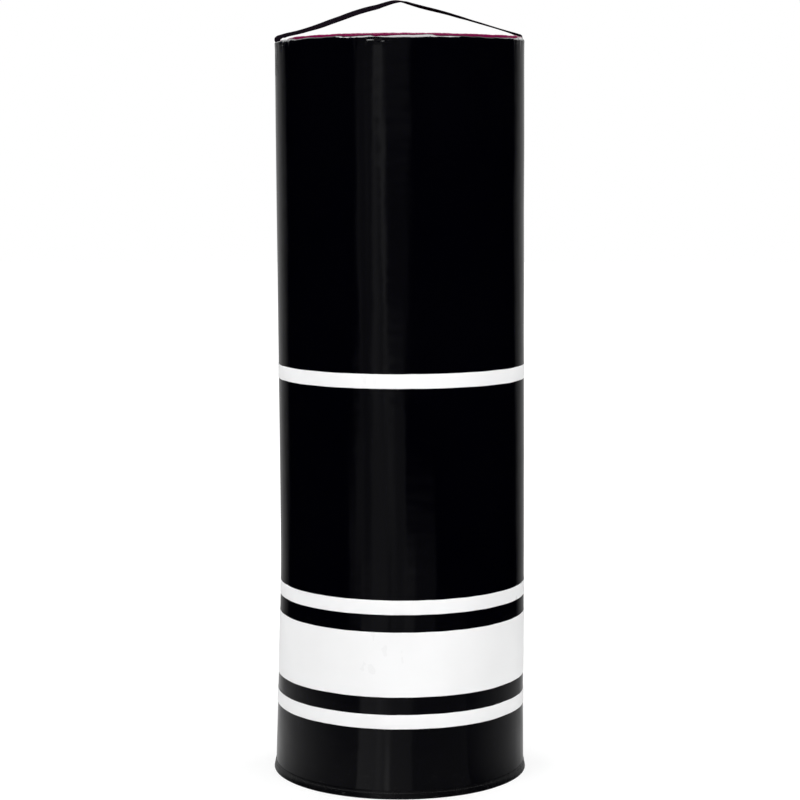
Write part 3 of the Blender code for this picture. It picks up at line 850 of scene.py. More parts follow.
# lumps of the gathered seam at the front: degrees to the right of the front, rise of the shoulder
seamLumps = [
    (-90, 0.0), (-74, 0.0006), (-69, 0.0016), (-64, 0.0004), (-60, 0.0012), (-54, -0.0004),
    (-47, 0.0003), (-40, 0.0), (-33, 0.0004), (-29, 0.0011), (-25, -0.0003), (-17, 0.0003),
    (-13, 0.0008), (-11, -0.0016), (-8, -0.0004), (-4, 0.0004), (0, 0.0009), (4, 0.0005), (9, 0.0013),
    (14, 0.0026), (17, 0.0002), (21, 0.0008), (26, 0.0), (38, 0.0003), (43, -0.0004), (48, 0.0003),
    (56, -0.0003), (66, 0.0002), (74, 0.0008), (90, 0.0),
]

# how full the rounded shoulder is: degrees to the right of the front, share of its radius
seamRounds = [
    (-180, 1.0), (-90, 1.0), (-72, 1.4), (-60, 1.35), (-52, 0.7), (-40, 0.75), (-31, 0.55), (-26, 0.95),
    (-16, 0.8), (-11, 0.45), (-6, 0.8), (-3, 1.25), (8, 1.4), (14, 1.3), (17, 0.45), (22, 0.85),
    (27, 0.5), (33, 0.75), (38, 0.45), (44, 0.8), (49, 0.5), (56, 0.8), (62, 0.5), (68, 0.9), (74, 1.2),
    (90, 1.0), (180, 1.0),
]

# short creases below the shoulder, where the cloth is gathered: degrees to the right of the front,
# half their span, how far below the shoulder they lie, how far their middle hangs, their height
seamCreases = [
    (-66, 5, 0.0030, 0.0010, 0.0007), (-57, 4, 0.0022, -0.0008, 0.0006),
    (-48, 3.5, 0.0034, 0.0009, 0.0005), (-29, 4, 0.0024, 0.0010, 0.0007),
    (-13, 4, 0.0022, 0.0008, 0.0008), (-10, 3.4, 0.0052, 0.0014, 0.0007),
    (-6, 4.2, 0.0040, 0.0016, 0.0007), (17, 3, 0.0026, -0.0008, 0.0006),
    (34, 4, 0.0024, 0.0008, 0.0005), (52, 4, 0.0028, -0.0008, 0.0006), (64, 5, 0.0026, 0.0010, 0.0006),
    (118, 5, 0.0030, 0.0010, 0.0006), (150, 4, 0.0026, -0.0009, 0.0006),
    (-128, 5, 0.0030, 0.0010, 0.0006), (-152, 4, 0.0028, 0.0009, 0.0006),
]


def creaseAt(angle, height):
    # how far the creases lift the cloth off the wall
    side = turnFromFront(angle)
    lift = 0.0
    for middle, half, below, hang, rise in seamCreases:
        share = (side - middle) / half
        if abs(share) < 1:
            line = shoulderBase - below - hang * (1 - share * share)
            off = (height - line) / coverValues["creaseWidth"]
            lift += rise * math.exp(-off * off) * (1 - share * share)
    return lift


def strapPull(angle):
    # 1 where the strap goes through the seam, and 0 away from it
    off = min(abs(turnBetween(angle, end)) for end in (leftEnd, rightEnd))
    return 1 - smoothStep(endHalf * coverValues["strapHold"], endHalf + coverValues["strapSpread"], off)


def atStrap(name, angle):
    # the value for the end of the strap that is nearer to an angle
    left, right = coverValues[name]
    return left if math.cos(angle) < 0 else right


def wallPoint(angle, height):
    fade = math.exp(-(shoulderBase - height) / coverValues["puckerReach"])
    swell = atStrap("strapBulge", angle) * strapPull(angle)
    out = (swell + coverValues["puckerOut"] * puckerAt(angle)) * fade + creaseAt(angle, height)
    point = onCover(angle, height, out)
    point.z += rimRise(angle) * smoothStep(shoulderBase - coverValues["rimReach"], shoulderBase, height)
    return point


def shoulderPoint(angle, turn, tuck):
    # turn goes round the shoulder from the wall to its top, and tuck on down inside the seam
    turn = math.radians(turn)
    pull = strapPull(angle)
    radius = coverValues["shoulderRadius"]
    radius += (atStrap("strapShoulder", angle) - radius) * pull
    tall = radius * (between(seamRounds, turnFromFront(angle))[0] * (1 - pull) + pull)
    loose = (1 - tuck) * (1 - coverValues["strapStill"] * pull)
    out = atStrap("strapBulge", angle) * pull + coverValues["puckerOut"] * puckerAt(angle) * loose
    out -= radius * (1 - math.cos(turn)) + coverValues["tuckIn"] * tuck
    height = shoulderTop - tall * (1 - math.sin(turn)) - coverValues["tuckDown"] * tuck * tuck
    height += rimRise(angle) - coverValues["strapSink"] * pull
    lump = between(seamLumps, turnFromFront(angle))[0] + coverValues["puckerUp"] * puckerAt(angle, 4.0)
    height += lump * math.sin(turn) * loose
    return ringPoint(angle, coverRadius(angle, shoulderBase) + out, height)


def makeCover():
    steps = round((shoulderBase - coverValues["fineRows"]) / coverValues["rowHeight"])
    heights = spread(coverLow.z, shoulderBase - coverValues["fineRows"], steps + 1)
    heights += [shoulderBase - drop for drop in coverValues["rowDrops"]]
    rows = [(wallPoint, height) for height in heights]
    rows += [(shoulderPoint, turn, 0.0) for turn in coverValues["shoulderTurns"]]
    rows += [(shoulderPoint, 90, tuck) for tuck in (0.5, 1.0)]
    cover = loftRows("bagCover", rows, coverValues["columns"])

    # the zip's slot
    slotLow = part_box("zip_bottom_stop")[0].z - clearance
    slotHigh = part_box("zip_top_stop_left")[1].z + clearance
    half = coverValues["slotHalfWidth"]

    def atBack(face, wide, low=0.0, high=bagTop * 2):
        middle = face.calc_center_median()
        return middle.y > 0 and abs(middle.x) < wide and low < middle.z < high

    openEdit(cover)
    planes = [((side, 0, 0), (1, 0, 0)) for side in (half, -half)]
    planes += [((0, 0, height), (0, 0, 1)) for height in (slotLow, slotHigh)]
    for place, normal in planes:
        selectWhere(cover, "FACE", lambda face: atBack(face, 4 * half))
        bpy.ops.mesh.bisect(plane_co=place, plane_no=normal)
    selectWhere(cover, "FACE", lambda face: atBack(face, half, slotLow, slotHigh))
    bpy.ops.mesh.delete(type="FACE")
    turnFacesOut()
    closeEdit()
    giveWall(cover, coverValues["wall"])
    finishPiece(cover, coverVinyl, ["cover_side_panel"], 60)
    return slotLow, slotHigh


slotLow, slotHigh = makeCover()
print("Cover made")


# Top seam: the crimson binding in two arcs, which the strap's ends part

bindingValues = {
    "columns": 230,
    "middle": 0.2218,  # distance of its centre line from the bag's axis
    "strapOut": 0.0036,  # how much farther out it lies beside the strap
    "halfWidth": 0.0017,
    "straight": 0.3,  # share of its section that each upright side takes
    "foot": 0.0008,  # above the top of the cover's wall
    "rise": 0.0015,  # above the CAD binding's top
    "cloth": 0.0008,
    "waver": 0.00045,
    "waverUp": (1.1, 0.6),  # share of the waver by which its top and its feet rise and fall
    "feet": 0.002,  # height of its feet above the seam
    "endMargin": 0.0015,
}

# how far the binding is drawn down behind the shoulder: degrees to the right of the front, drop
bindingDrops = [
    (-180, 0.0), (-100, 0.0), (-84, 0.0020), (-68, 0.0030), (-63, 0.0012), (-55, 0.0), (68, 0.0),
    (77, 0.0022), (90, 0.0020), (110, 0.0), (180, 0.0),
]


def bindingSection(share):
    # an upturned U, from the outer foot over the top to the inner foot
    foot = bagTop + bindingValues["foot"]
    half = bindingValues["halfWidth"]
    top = bindingHigh.z + bindingValues["rise"]
    straight = bindingValues["straight"]
    if share < straight:
        return half, foot + (top - half - foot) * share / straight
    if share > 1 - straight:
        return -half, foot + (top - half - foot) * (1 - share) / straight
    turn = math.pi * (share - straight) / (1 - 2 * straight)
    return half * math.cos(turn), top - half + half * math.sin(turn)


def bindingPoint(angle, share):
    out, height = bindingSection(share)
    waver = bindingValues["waver"]
    side = out + waver * puckerAt(angle, 11.0)
    whole, feet = bindingValues["waverUp"]
    lift = waver * whole * puckerAt(angle, 15.0) * (1 if height > bagTop + bindingValues["feet"] else feet)
    radius = bindingValues["middle"] + bindingValues["strapOut"] * strapPull(angle) + side
    lift += rimRise(angle) - between(bindingDrops, turnFromFront(angle))[0]
    return ringPoint(angle, radius, height + lift)


bindingEnd = endHalf + bindingValues["endMargin"] / anchorRadius
seamArcs = {
    "front": (leftEnd + bindingEnd, rightEnd + fullTurn - bindingEnd),
    "back": (rightEnd + bindingEnd, leftEnd - bindingEnd),
}
for side, arc in seamArcs.items():
    rows = [(bindingPoint, i / 12) for i in range(13)]
    binding = loftRows(f"binding{side.capitalize()}", rows, bindingValues["columns"], *arc)
    tidyFaces(binding)
    giveWall(binding, bindingValues["cloth"], 0.0)
    finishPiece(binding, crimsonVinyl, [f"top_binding_{side}"], 50)
print("Binding made")


# Top panel: crimson, lightly crowned, puckered where it is gathered into the seam

panelValues = {
    "columns": 256,
    "rim": 0.2204,
    "strapOut": 0.0040,
    "sink": 0.001,  # how far its edge lies below the top of the cover's wall
    "rimRise": 0.0034,
    "rimWaver": 0.0003,
    "crown": 0.003,
    "wall": 0.001,
    "puckerDepth": 0.0020,
    "puckerReach": 0.036,
    "waveDepth": 0.0016,
    "wavesAcross": 9,
    "ringGap": 0.0035,
    "innerRings": (0.92, 0.8, 0.66, 0.52, 0.38, 0.25, 0.14, 0.06),
    "poleReach": 0.03,
}


def panelHeight(angle, radius):
    # the panel's upper face, crowned over its pad and drawn up where the rim is high
    crown = panelValues["crown"] * (1 - (radius / panelValues["rim"]) ** 2)
    reach = math.exp(-(panelValues["rim"] - radius) / panelValues["puckerReach"])
    tuck = (panelValues["puckerDepth"] * (puckerAt(angle, 21.0) - 0.5) + rimRise(angle)) * reach
    waves = panelValues["wavesAcross"]
    wave = noise.noise((radius * math.cos(angle) * waves, radius * math.sin(angle) * waves, 5))
    return bagTop - panelValues["sink"] + crown + tuck + panelValues["waveDepth"] * wave


def rimPoint(angle, height, inward):
    radius = panelValues["rim"] - inward + panelValues["strapOut"] * strapPull(angle)
    radius += panelValues["rimWaver"] * puckerAt(angle, 21.0)
    return ringPoint(angle, radius, height + rimRise(angle))


def panelPoint(angle, radius):
    return ringPoint(angle, radius, panelHeight(angle, radius))


def makeTopPanel():
    edge = bagTop - panelValues["sink"]
    radii = [panelValues["rim"] - 0.0010 - panelValues["ringGap"] * i for i in range(1, 12)]
    radii += [radii[-1] * share for share in panelValues["innerRings"]]
    rise = panelValues["rimRise"]
    rows = [(rimPoint, edge + rise, 0.0), (rimPoint, edge + rise / 2, 0.0002)]
    rows += [(panelPoint, radius) for radius in radii]
    panel = loftRows("topPanel", rows, panelValues["columns"])
    closeRims(panel, panelValues["poleReach"], poke=True)
    if sum(face.normal.z for face in panel.data.polygons) < 0:
        flipFaces(panel)
    giveWall(panel, panelValues["wall"])
    return finishPiece(panel, crimsonVinyl, ["top_panel"], 50)


topPanel = makeTopPanel()
print("Top panel made")


# Carry strap: one length of webbing over the top

strapValues = {
    "thickness": 0.0022,
    "across": 10,
    "along": 150,
    "rootRows": 14,
    "edgeRound": 0.0006,
    "keepFolded": 0.045,
    "waveDepth": 0.0006,
    "leftTurnIn": 0.0060,  # how far the near edge is pulled inwards at the left end
    "turnInRise": (-0.004, 0.002),  # heights over which that pull sets in
    "stillEnd": (0.229, 0.21),  # distances from the axis between which its waves fade in
    "roundEnd": (0.212, 0.227),  # between these it takes on the seam's round line
    "waves": (24, 1.5),  # how many waves along and across
    "step": 0.0008,  # share of the route over which its direction is read
    "measures": 2000,  # steps in which a route's length is measured
}

# the line that the webbing's middle follows: distance along the strap's line, height above the seam's top
strapRoute = [
    (-0.2284, 0.0040), (-0.2256, 0.0052), (-0.2190, 0.0064), (-0.2060, 0.0100), (-0.1850, 0.0154),
    (-0.1519, 0.0252), (-0.1296, 0.0335), (-0.1073, 0.0418), (-0.0850, 0.0501), (-0.0627, 0.0569),
    (-0.0403, 0.0628), (-0.0220, 0.0689), (-0.0080, 0.0722), (0.0050, 0.0715), (0.0235, 0.0666),
    (0.0461, 0.0609), (0.0800, 0.0529), (0.1142, 0.0439), (0.1485, 0.0347), (0.1829, 0.0252),
    (0.2059, 0.0189), (0.2160, 0.0160), (0.2232, 0.0136), (0.2266, 0.0112), (0.2274, 0.0082),
]
leftRoot = [
    (-0.2262, -0.0070), (-0.2272, -0.0042), (-0.2288, -0.0022), (-0.2299, -0.0002), (-0.2299, 0.0022),
    (-0.2284, 0.0040),
]
rightRoot = [(0.2274, 0.0082), (0.2276, 0.0058), (0.2272, 0.0034), (0.2264, 0.0004), (0.2254, -0.0046)]
# how far its near and far halves droop towards the front, in degrees, along the same line
strapTilt = [
    (-0.231, 3, 3), (-0.2285, 4, 4), (-0.222, 8.5, 7), (-0.205, 9.5, 7.5), (-0.180, 10.5, 7),
    (-0.150, 12.5, 8), (-0.113, 14, 8.5), (-0.050, 14, 8), (-0.035, 11, 7), (-0.012, 9.5, 5.5),
    (0.010, 4, 2), (0.057, 1, 0), (0.110, 3.3, 3.1), (0.135, 5.4, 5.4), (0.155, 5.7, 5.7),
    (0.205, 5.4, 5.4), (0.220, 4, 4), (0.229, 0, 0),
]


def alongLine(points, share):
    # a smooth curve through the points, by their number
    place = share * (len(points) - 1)
    here = min(int(place), len(points) - 2)
    t = place - here
    around = [points[min(max(here + k, 0), len(points) - 1)] for k in (-1, 0, 1, 2)]
    return [
        0.5 * (2 * b + (c - a) * t + (2 * a - 5 * b + 4 * c - d) * t * t + (3 * b - a - 3 * c + d) * t ** 3)
        for a, b, c, d in zip(*around)
    ]


def lengthsAlong(points):
    lengths = [0.0]
    for first, second in zip(points, points[1:]):
        lengths.append(lengths[-1] + math.dist(first, second))
    return lengths


def evenShares(points, count):
    # shares of the curve that lie at even lengths along it
    steps = strapValues["measures"]
    lengths = lengthsAlong([alongLine(points, i / steps) for i in range(steps + 1)])
    shares, place = [], 0
    for i in range(count):
        want = lengths[-1] * i / (count - 1)
        while place < steps - 1 and lengths[place + 1] < want:
            place += 1
        shares.append(place / steps)
    return shares, lengths[-1]


strapLine = Vector((math.cos(strapTurn), math.sin(strapTurn), 0))
strapSide = Vector((-strapLine.y, strapLine.x, 0))


def strapPoint(route, share, across):
    # across goes from -0.5 at the near edge to 0.5 at the far edge
    along, height = alongLine(route, share)
    ahead = alongLine(route, min(1.0, share + strapValues["step"]))
    behind = alongLine(route, max(0.0, share - strapValues["step"]))
    run = (strapLine * (ahead[0] - behind[0]) + Vector((0, 0, ahead[1] - behind[1]))).normalized()
    up = strapSide.cross(run) * -1
    near, far = between(strapTilt, along)
    tilt = math.radians(near + (far - near) * (across + 0.5))
    lengthwise, crosswise = strapValues["waves"]
    wave = strapValues["waveDepth"] * noise.noise((along * lengthwise, across * crosswise, 3))
    wave *= smoothStep(*strapValues["stillEnd"], abs(along))
    out = strapSide * math.cos(tilt) + up * math.sin(tilt)
    point = strapLine * along + Vector((0, 0, coverHigh.z + height)) + out * across * strapWidth + up * wave
    # the ends follow the round seam
    flat = Vector((point.x, point.y, 0))
    turnIn = 0.0
    if along < 0:
        turnIn = strapValues["leftTurnIn"] * (0.5 - across) * smoothStep(*strapValues["turnInRise"], height)
    bend = smoothStep(*strapValues["roundEnd"], abs(along))
    point += flat.normalized() * (abs(along) - turnIn - flat.length) * bend
    return point


def makeStrapLength(name, route, rows, nodes=()):
    # a flat grid is laid along the route, and then gets its thickness
    shares, length = evenShares(route, rows)
    deselectAll()
    bpy.ops.mesh.primitive_grid_add(x_subdivisions=strapValues["across"], y_subdivisions=rows - 1, size=1)
    strap = added(name)
    for vert in strap.data.vertices:
        vert.co = strapPoint(route, shares[round((vert.co.y + 0.5) * (rows - 1))], vert.co.x)
    strap.data.update()
    for loop in strap.data.uv_layers.active.data:
        loop.uv = (loop.uv[0], loop.uv[1] * length * 2)
    giveWall(strap, strapValues["thickness"], 0.0, strapValues["edgeRound"])
    return finishPiece(strap, strapWebbing, nodes), length


def makeStrap():
    nodes = ["handle_strap_left", "handle_strap_right", "handle_crown"]
    strap, length = makeStrapLength("carryStrap", strapRoute, strapValues["along"], nodes)
    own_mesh(strap)
    # its two ends stand in the seam, and stay there when the strap is laid flat
    for name, route in (("strapRootLeft", leftRoot), ("strapRootRight", rightRoot)):
        length += makeStrapLength(name, route, strapValues["rootRows"])[1]
    print("Strap length above the seam", round(length, 3))


makeStrap()


# Strips that follow the cover: hoops, seam strip, patches, zip tapes and seam tape

def makeStrip(name, arc, rise, out, thickness, look, node, grid, edgeRound=0.0, sway=0.0):
    # a band on the cover between two angles and two heights; grid is its columns and rows

    def stripPoint(angle, height):
        waver = sway * ringNoise(angle, 7, height * 3)
        return onCover(angle, height + waver, out + thickness)

    strip = loftRows(name, [(stripPoint, height) for height in spread(*rise, grid[1])], grid[0], *arc)
    tidyFaces(strip)
    turnOutwards(strip)
    giveWall(strip, thickness, -1.0, edgeRound, 50)
    return finishPiece(strip, look, [node])


def riseOf(node):
    low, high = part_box(node)
    return low.z, high.z


def camelName(node):
    return "".join([word.capitalize() if i else word for i, word in enumerate(node.split("_"))])


hoopValues = {
    "out": 0.00015,
    "thickness": 0.0004,
    "columns": 300,
    "rowHeight": 0.006,
    "edgeRound": 0.00012,
    "sway": 0.0006,
}
for node in ("hoop_low", "hoop_wide", "hoop_high", "hoop_chest"):
    low, high = riseOf(node)
    gap = min(offBack(math.atan2(c.y, c.x)) for c in cornersOf(node))
    rows = max(4, round((high - low) / hoopValues["rowHeight"]))
    makeStrip(
        camelName(node), (backAngle + gap, backAngle + fullTurn - gap), (low, high),
        hoopValues["out"], hoopValues["thickness"], whiteVinyl, node,
        (hoopValues["columns"], rows), hoopValues["edgeRound"], hoopValues["sway"],
    )
print("Hoops made")


# Base welt: the bound bottom seam, a rounded lip that stands out at the floor

weltValues = {"columns": 320, "lip": 0.0030, "waver": 0.00035, "tuck": 0.0046}
weltTop = riseOf("base_welt")[1]
# outline: share of the lip's reach, share of the welt's height
weltOutline = [
    (0.10, 1.00), (0.22, 0.93), (0.26, 0.78), (0.34, 0.60), (0.50, 0.42), (0.76, 0.26), (0.95, 0.15),
    (1.00, 0.075), (0.88, 0.02), (0.55, 0.0), (0.0, 0.0),
]


def weltPoint(angle, reach, rise):
    waver = weltValues["waver"] * puckerAt(angle, 31.0) * min(1.0, 4 * rise)
    return onCover(angle, rise * weltTop, clearance + weltValues["lip"] * reach + waver)


def weltInside(angle, height):
    return onCover(angle, height, clearance / 2)


def makeWelt():
    inner = footRadius - weltValues["tuck"]
    wearTop = riseOf("base_wear_disc")[1]
    rows = [(weltPoint, *row) for row in weltOutline]
    rows += [(ringPoint, inner, 0.0), (ringPoint, inner, wearTop)]
    rows += [(weltInside, wearTop), (weltInside, weltTop), rows[0]]
    welt = loftRows("baseWelt", rows, weltValues["columns"])
    tidyFaces(welt)
    finishPiece(welt, weltVinyl, ["base_welt"], 55)


makeWelt()
print("Welt made")


# Back seam strip and the patch that ends the zip

stripValues = {"out": 0.0002, "thickness": 0.0011, "columns": 24, "edgeRound": 0.0004}


def halfSpan(node):
    # the angle off the back that a node takes up
    return max(offBack(math.atan2(c.y, c.x)) for c in cornersOf(node))


for node, rows in (("back_seam_strip", 60), ("zip_end_patch", 10)):
    far = halfSpan(node)
    makeStrip(
        camelName(node), (backAngle - far, backAngle + far), riseOf(node),
        stripValues["out"], stripValues["thickness"], coverVinyl, node,
        (stripValues["columns"], rows), stripValues["edgeRound"],
    )
print("Back strips made")


# Zip: tapes, teeth, stops, slider and pull tab

zipValues = {
    "pitch": 0.0031,
    "toothReach": 0.0052,
    "toothOverlap": 0.0007,
    "toothHeight": 0.0024,
    "toothLength": 0.00165,
    "toothWaist": 0.52,
    "toothTip": (0.8, 0.72),  # how far its tip narrows, in height and length
    "toothRound": 0.00016,
    "toothCuts": (0.62, 0.8),  # shares of its reach at which it gets new edges to shape
    "waistSpan": (0.5, 0.7),
    "tipStart": 0.95,
    "firstTooth": 0.3,  # share of the pitch at which the row starts
    "tapeInset": 0.0021,
    "tapeThickness": 0.0008,
    "tapeGrid": (10, 90),
    "tapeRound": 0.0002,
    "stopRound": 0.0007,
    "stopDent": 0.0005,
}
zipLow, zipHigh = riseOf("zip_teeth_left")
zipFace = nodeReach("zip_teeth_left", zipLow, zipHigh)


def makeTapes():
    for side in ("left", "right"):
        node = f"zip_tape_{side}"
        angles = [math.atan2(c.y, c.x) for c in cornersOf(node)]
        makeStrip(
            camelName(node), (min(angles), max(angles)), riseOf(node),
            -zipValues["tapeInset"], zipValues["tapeThickness"], zipTapeCloth, node,
            zipValues["tapeGrid"], zipValues["tapeRound"],
        )


def softBlock(name, low, high, edgeRound, segments=2):
    # a block between two corners, with rounded edges
    deselectAll()
    bpy.ops.mesh.primitive_cube_add(size=1, location=[(a + b) / 2 for a, b in zip(low, high)])
    block = added(name)
    block.scale = [b - a for a, b in zip(low, high)]
    bpy.ops.object.transform_apply(location=True, rotation=False, scale=True)
    openEdit(block)
    selectAll()
    bpy.ops.mesh.bevel(offset=edgeRound, segments=segments, affect="EDGES")
    closeEdit()
    return block


def makeTooth():
    # one moulded tooth, pointing to +X, with a waist and a round head
    deselectAll()
    reach, tip = zipValues["toothReach"], zipValues["toothTip"]
    waistLow, waistHigh = zipValues["waistSpan"]
    bpy.ops.mesh.primitive_cube_add(size=1, location=(reach / 2, 0, 0))
    tooth = added("toothPattern")
    tooth.scale = (reach, zipValues["toothHeight"], zipValues["toothLength"])
    bpy.ops.object.transform_apply(location=True, rotation=False, scale=True)

    def shape(corner):
        share = corner.x / reach
        if waistLow < share < waistHigh:
            corner.z *= zipValues["toothWaist"]
        elif share > zipValues["tipStart"]:
            corner.y *= tip[0]
            corner.z *= tip[1]

    openEdit(tooth)
    for share in zipValues["toothCuts"]:
        cutAcross((reach * share, 0, 0), (1, 0, 0))
    moveCorners(tooth, shape)
    selectAll()
    bpy.ops.mesh.bevel(offset=zipValues["toothRound"], segments=1, affect="EDGES")
    closeEdit()
    return tooth


def copiesOf(name, pattern, matrices):
    # the pattern is copied to every place, and the copies are joined
    copies = []
    for matrix in matrices:
        thing = linked(name, pattern.data.copy())
        thing.matrix_world = matrix
        copies.append(thing)
    return joinAll(copies)


def makeTeeth():
    tooth = makeTooth()
    middle = zipFace - zipValues["toothHeight"] / 2
    reach = zipValues["toothReach"] - zipValues["toothOverlap"]
    for side, sign, turn, shift in (("left", -1, 0.0, 0.0), ("right", 1, math.pi, 0.5)):
        places = []
        for i in range(int((zipHigh - zipLow) / zipValues["pitch"])):
            height = zipLow + zipValues["pitch"] * (i + shift + zipValues["firstTooth"])
            places.append(Matrix.Translation((sign * reach, middle, height)) @ Matrix.Rotation(turn, 4, "Z"))
        teeth = copiesOf(f"zipTeeth{side.capitalize()}", tooth, places)
        finishPiece(teeth, zipPlastic, [f"zip_teeth_{side}"], 35)
    bpy.data.objects.remove(tooth)


def makeStops():
    for node in ("zip_top_stop_left", "zip_top_stop_right", "zip_bottom_stop"):
        low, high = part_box(node)
        middle = (low.z + high.z) / 2
        stop = softBlock(camelName(node), low, high, zipValues["stopRound"], 3)

        def pressIn(corner):
            # the clamp's middle is pressed in
            if abs(corner.z - middle) < 0.0001:
                corner.y -= zipValues["stopDent"] * smoothStep((low.y + high.y) / 2, high.y, corner.y)

        openEdit(stop)
        cutAcross((0, 0, middle), (0, 0, 1))
        moveCorners(stop, pressIn)
        closeEdit()
        finishPiece(stop, zipMetal, [node])


sliderValues = {
    "plateGap": 0.0003,  # between the teeth and the plate
    "plateThickness": 0.0014,
    "plateRound": 0.0002,
    "taper": 0.74,
    "taperSpan": (0.15, 0.75),  # shares of its height between which it widens
    "plateCuts": (0.3, 0.62),
    "cornerCut": 0.0034,
    "wallInset": 0.0006,
    "wallThickness": 0.0011,
    "wallDepth": 0.0026,
    "wallOverlap": 0.0004,
    "wallEnds": (0.004, 0.002),
    "wallRound": 0.0003,
    "bridgeWire": 0.0009,
    "bridgeReach": 0.0066,
    "bridgeSink": 0.0006,
    "bridgeSteps": 16,
}
sliderLow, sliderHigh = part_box("zip_slider")
tabLow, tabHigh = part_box("zip_pull_tab")
tabAxis = Vector(joints["pull_tab_swing"]["pos_m"])


def makeSliderPlate(bottom, top):
    # wide above, narrower where the closed teeth leave it
    low = Vector((sliderLow.x, bottom, sliderLow.z))
    high = Vector((sliderHigh.x, top, sliderHigh.z))
    plate = softBlock("zipSlider", low, high, sliderValues["plateRound"], 1)
    taper = sliderValues["taper"]

    def narrow(corner):
        share = (corner.z - low.z) / (high.z - low.z)
        corner.x *= taper + (1 - taper) * smoothStep(*sliderValues["taperSpan"], share)

    def atCorner(edge):
        first, second = [v.co for v in edge.verts]
        ends = [min(abs(first.z - end), abs(second.z - end)) < 0.0004 for end in (low.z, high.z)]
        return abs((first - second).normalized().y) > 0.9 and any(ends)

    openEdit(plate)
    for share in sliderValues["plateCuts"]:
        cutAcross((0, 0, low.z + (high.z - low.z) * share), (0, 0, 1))
    moveCorners(plate, narrow)
    selectWhere(plate, "EDGE", atCorner)
    bpy.ops.mesh.bevel(offset=sliderValues["cornerCut"] / 2, segments=4, affect="EDGES")
    closeEdit()
    return plate


def makeBridge(plateTop):
    # the wire that holds the tab
    radius = sliderValues["bridgeWire"]
    sink = sliderValues["bridgeSink"]
    rise = sliderHigh.y - plateTop + sink - radius
    curve = bpy.data.curves.new("sliderBridge", "CURVE")
    curve.dimensions = "3D"
    curve.bevel_depth = radius
    curve.bevel_resolution = 2
    curve.use_fill_caps = True
    spline = curve.splines.new("POLY")
    spline.points.add(sliderValues["bridgeSteps"])
    for i, point in enumerate(spline.points):
        turn = math.pi * i / sliderValues["bridgeSteps"]
        height = tabAxis.z - sliderValues["bridgeReach"] * math.cos(turn)
        point.co = (0.0, plateTop - sink + rise * math.sin(turn) ** 0.5, height, 1.0)
    pick(linked("sliderBridge", curve))
    bpy.ops.object.convert(target="MESH")
    return bpy.context.active_object


def makeSlider():
    bottom = zipFace + sliderValues["plateGap"]
    top = bottom + sliderValues["plateThickness"]
    parts = [makeSliderPlate(bottom, top)]
    # side walls that reach down past the teeth
    outer = coverValues["slotHalfWidth"] - sliderValues["wallInset"]
    inner = outer - sliderValues["wallThickness"]
    more, less = sliderValues["wallEnds"]
    for left, right in ((-outer, -inner), (inner, outer)):
        low = Vector((left, bottom - sliderValues["wallDepth"], sliderLow.z + more))
        high = Vector((right, bottom + sliderValues["wallOverlap"], sliderHigh.z - less))
        parts.append(softBlock("sliderWall", low, high, sliderValues["wallRound"]))
    parts.append(makeBridge(top))
    finishPiece(joinAll(parts), zipMetal, ["zip_slider"], 45, "slider")


tabValues = {
    "edgeRound": 0.0002,
    "cuts": (0.1, 0.2, 0.3, 0.45, 0.6, 0.72, 0.8),
    "waist": 0.78,
    "waistReach": 0.8,  # share of its height that the waist takes up
    "endReach": 0.1,  # share of its height that its rounded lower end takes up
    "armWidth": 0.0022,
    "windowTop": 0.0009,  # below the tab's axis
    "windowDrop": 0.0078,
    "windowRound": 0.0006,
    "gripRidges": 5,
    "gripStart": 0.006,
    "gripGap": 0.0026,
    "groove": (0.0028, 0.0003, 0.0011),  # half its width, its depth, its height
}


def makePullTab():
    low, high, end = tabLow, tabHigh, tabValues["endReach"]
    tab = softBlock("zipPullTab", low, high, 0.0001, 1)

    def shape(corner):
        share = (corner.z - low.z) / (high.z - low.z)
        inward = (1 - tabValues["waist"]) * math.sin(math.pi * min(1.0, share / tabValues["waistReach"])) ** 2
        corner.x *= (1 - inward) * math.sqrt(max(0.25, 1 - max(0.0, (end - share) / end) ** 2))

    openEdit(tab)
    for share in tabValues["cuts"]:
        cutAcross((0, 0, low.z + (high.z - low.z) * share), (0, 0, 1))
    moveCorners(tab, shape)
    closeEdit()
    half = high.x - tabValues["armWidth"]
    top = tabAxis.z - tabValues["windowTop"]
    bottom = top - tabValues["windowDrop"]
    corners = (-half, low.y - 0.002, bottom), (half, high.y + 0.002, top)
    cutters = [softBlock("tabWindow", *corners, tabValues["windowRound"], 3)]
    wide, deep, tall = tabValues["groove"]
    for side in (low.y, high.y):
        for i in range(tabValues["gripRidges"]):
            foot = low.z + tabValues["gripStart"] + tabValues["gripGap"] * i
            corners = (-wide, side - deep, foot), (wide, side + deep, foot + tall)
            cutters.append(softBlock("tabGroove", *corners, 0.0001, 1))
    for cutter in cutters:
        cut = tab.modifiers.new("cut", "BOOLEAN")
        cut.operation = "DIFFERENCE"
        cut.solver = "EXACT"
        cut.object = cutter
    addBevel(tab, tabValues["edgeRound"])
    applyModifiers(tab)
    for cutter in cutters:
        bpy.data.objects.remove(cutter)
    finishPiece(tab, zipMetal, ["zip_pull_tab"], body="pull_tab")


makeTapes()
makeTeeth()
makeStops()
makeSlider()
makePullTab()
print("Zip made")


# Stitching: each row is short threads that dip into the cloth at both ends

stitchValues = {
    "length": 0.0034,
    "gap": 0.0012,
    "radius": 0.00042,
    "flatten": 0.8,
    "sink": 0.00012,
    "panelInset": 0.0065,  # from the top panel's rim
    "weltPlace": (0.70, 0.30),  # share of the welt's height, share of its lip
    "edgeInset": 0.003,
    "endInset": 0.002,
    "zipRows": (0.0108, 0.0172),  # off the zip's middle
    "zipEnds": (0.001, 0.007),
    "rounds": 360,  # places at which a row round the bag is measured
    "boxHalf": 0.014,  # half the width of the strap's box stitching
}


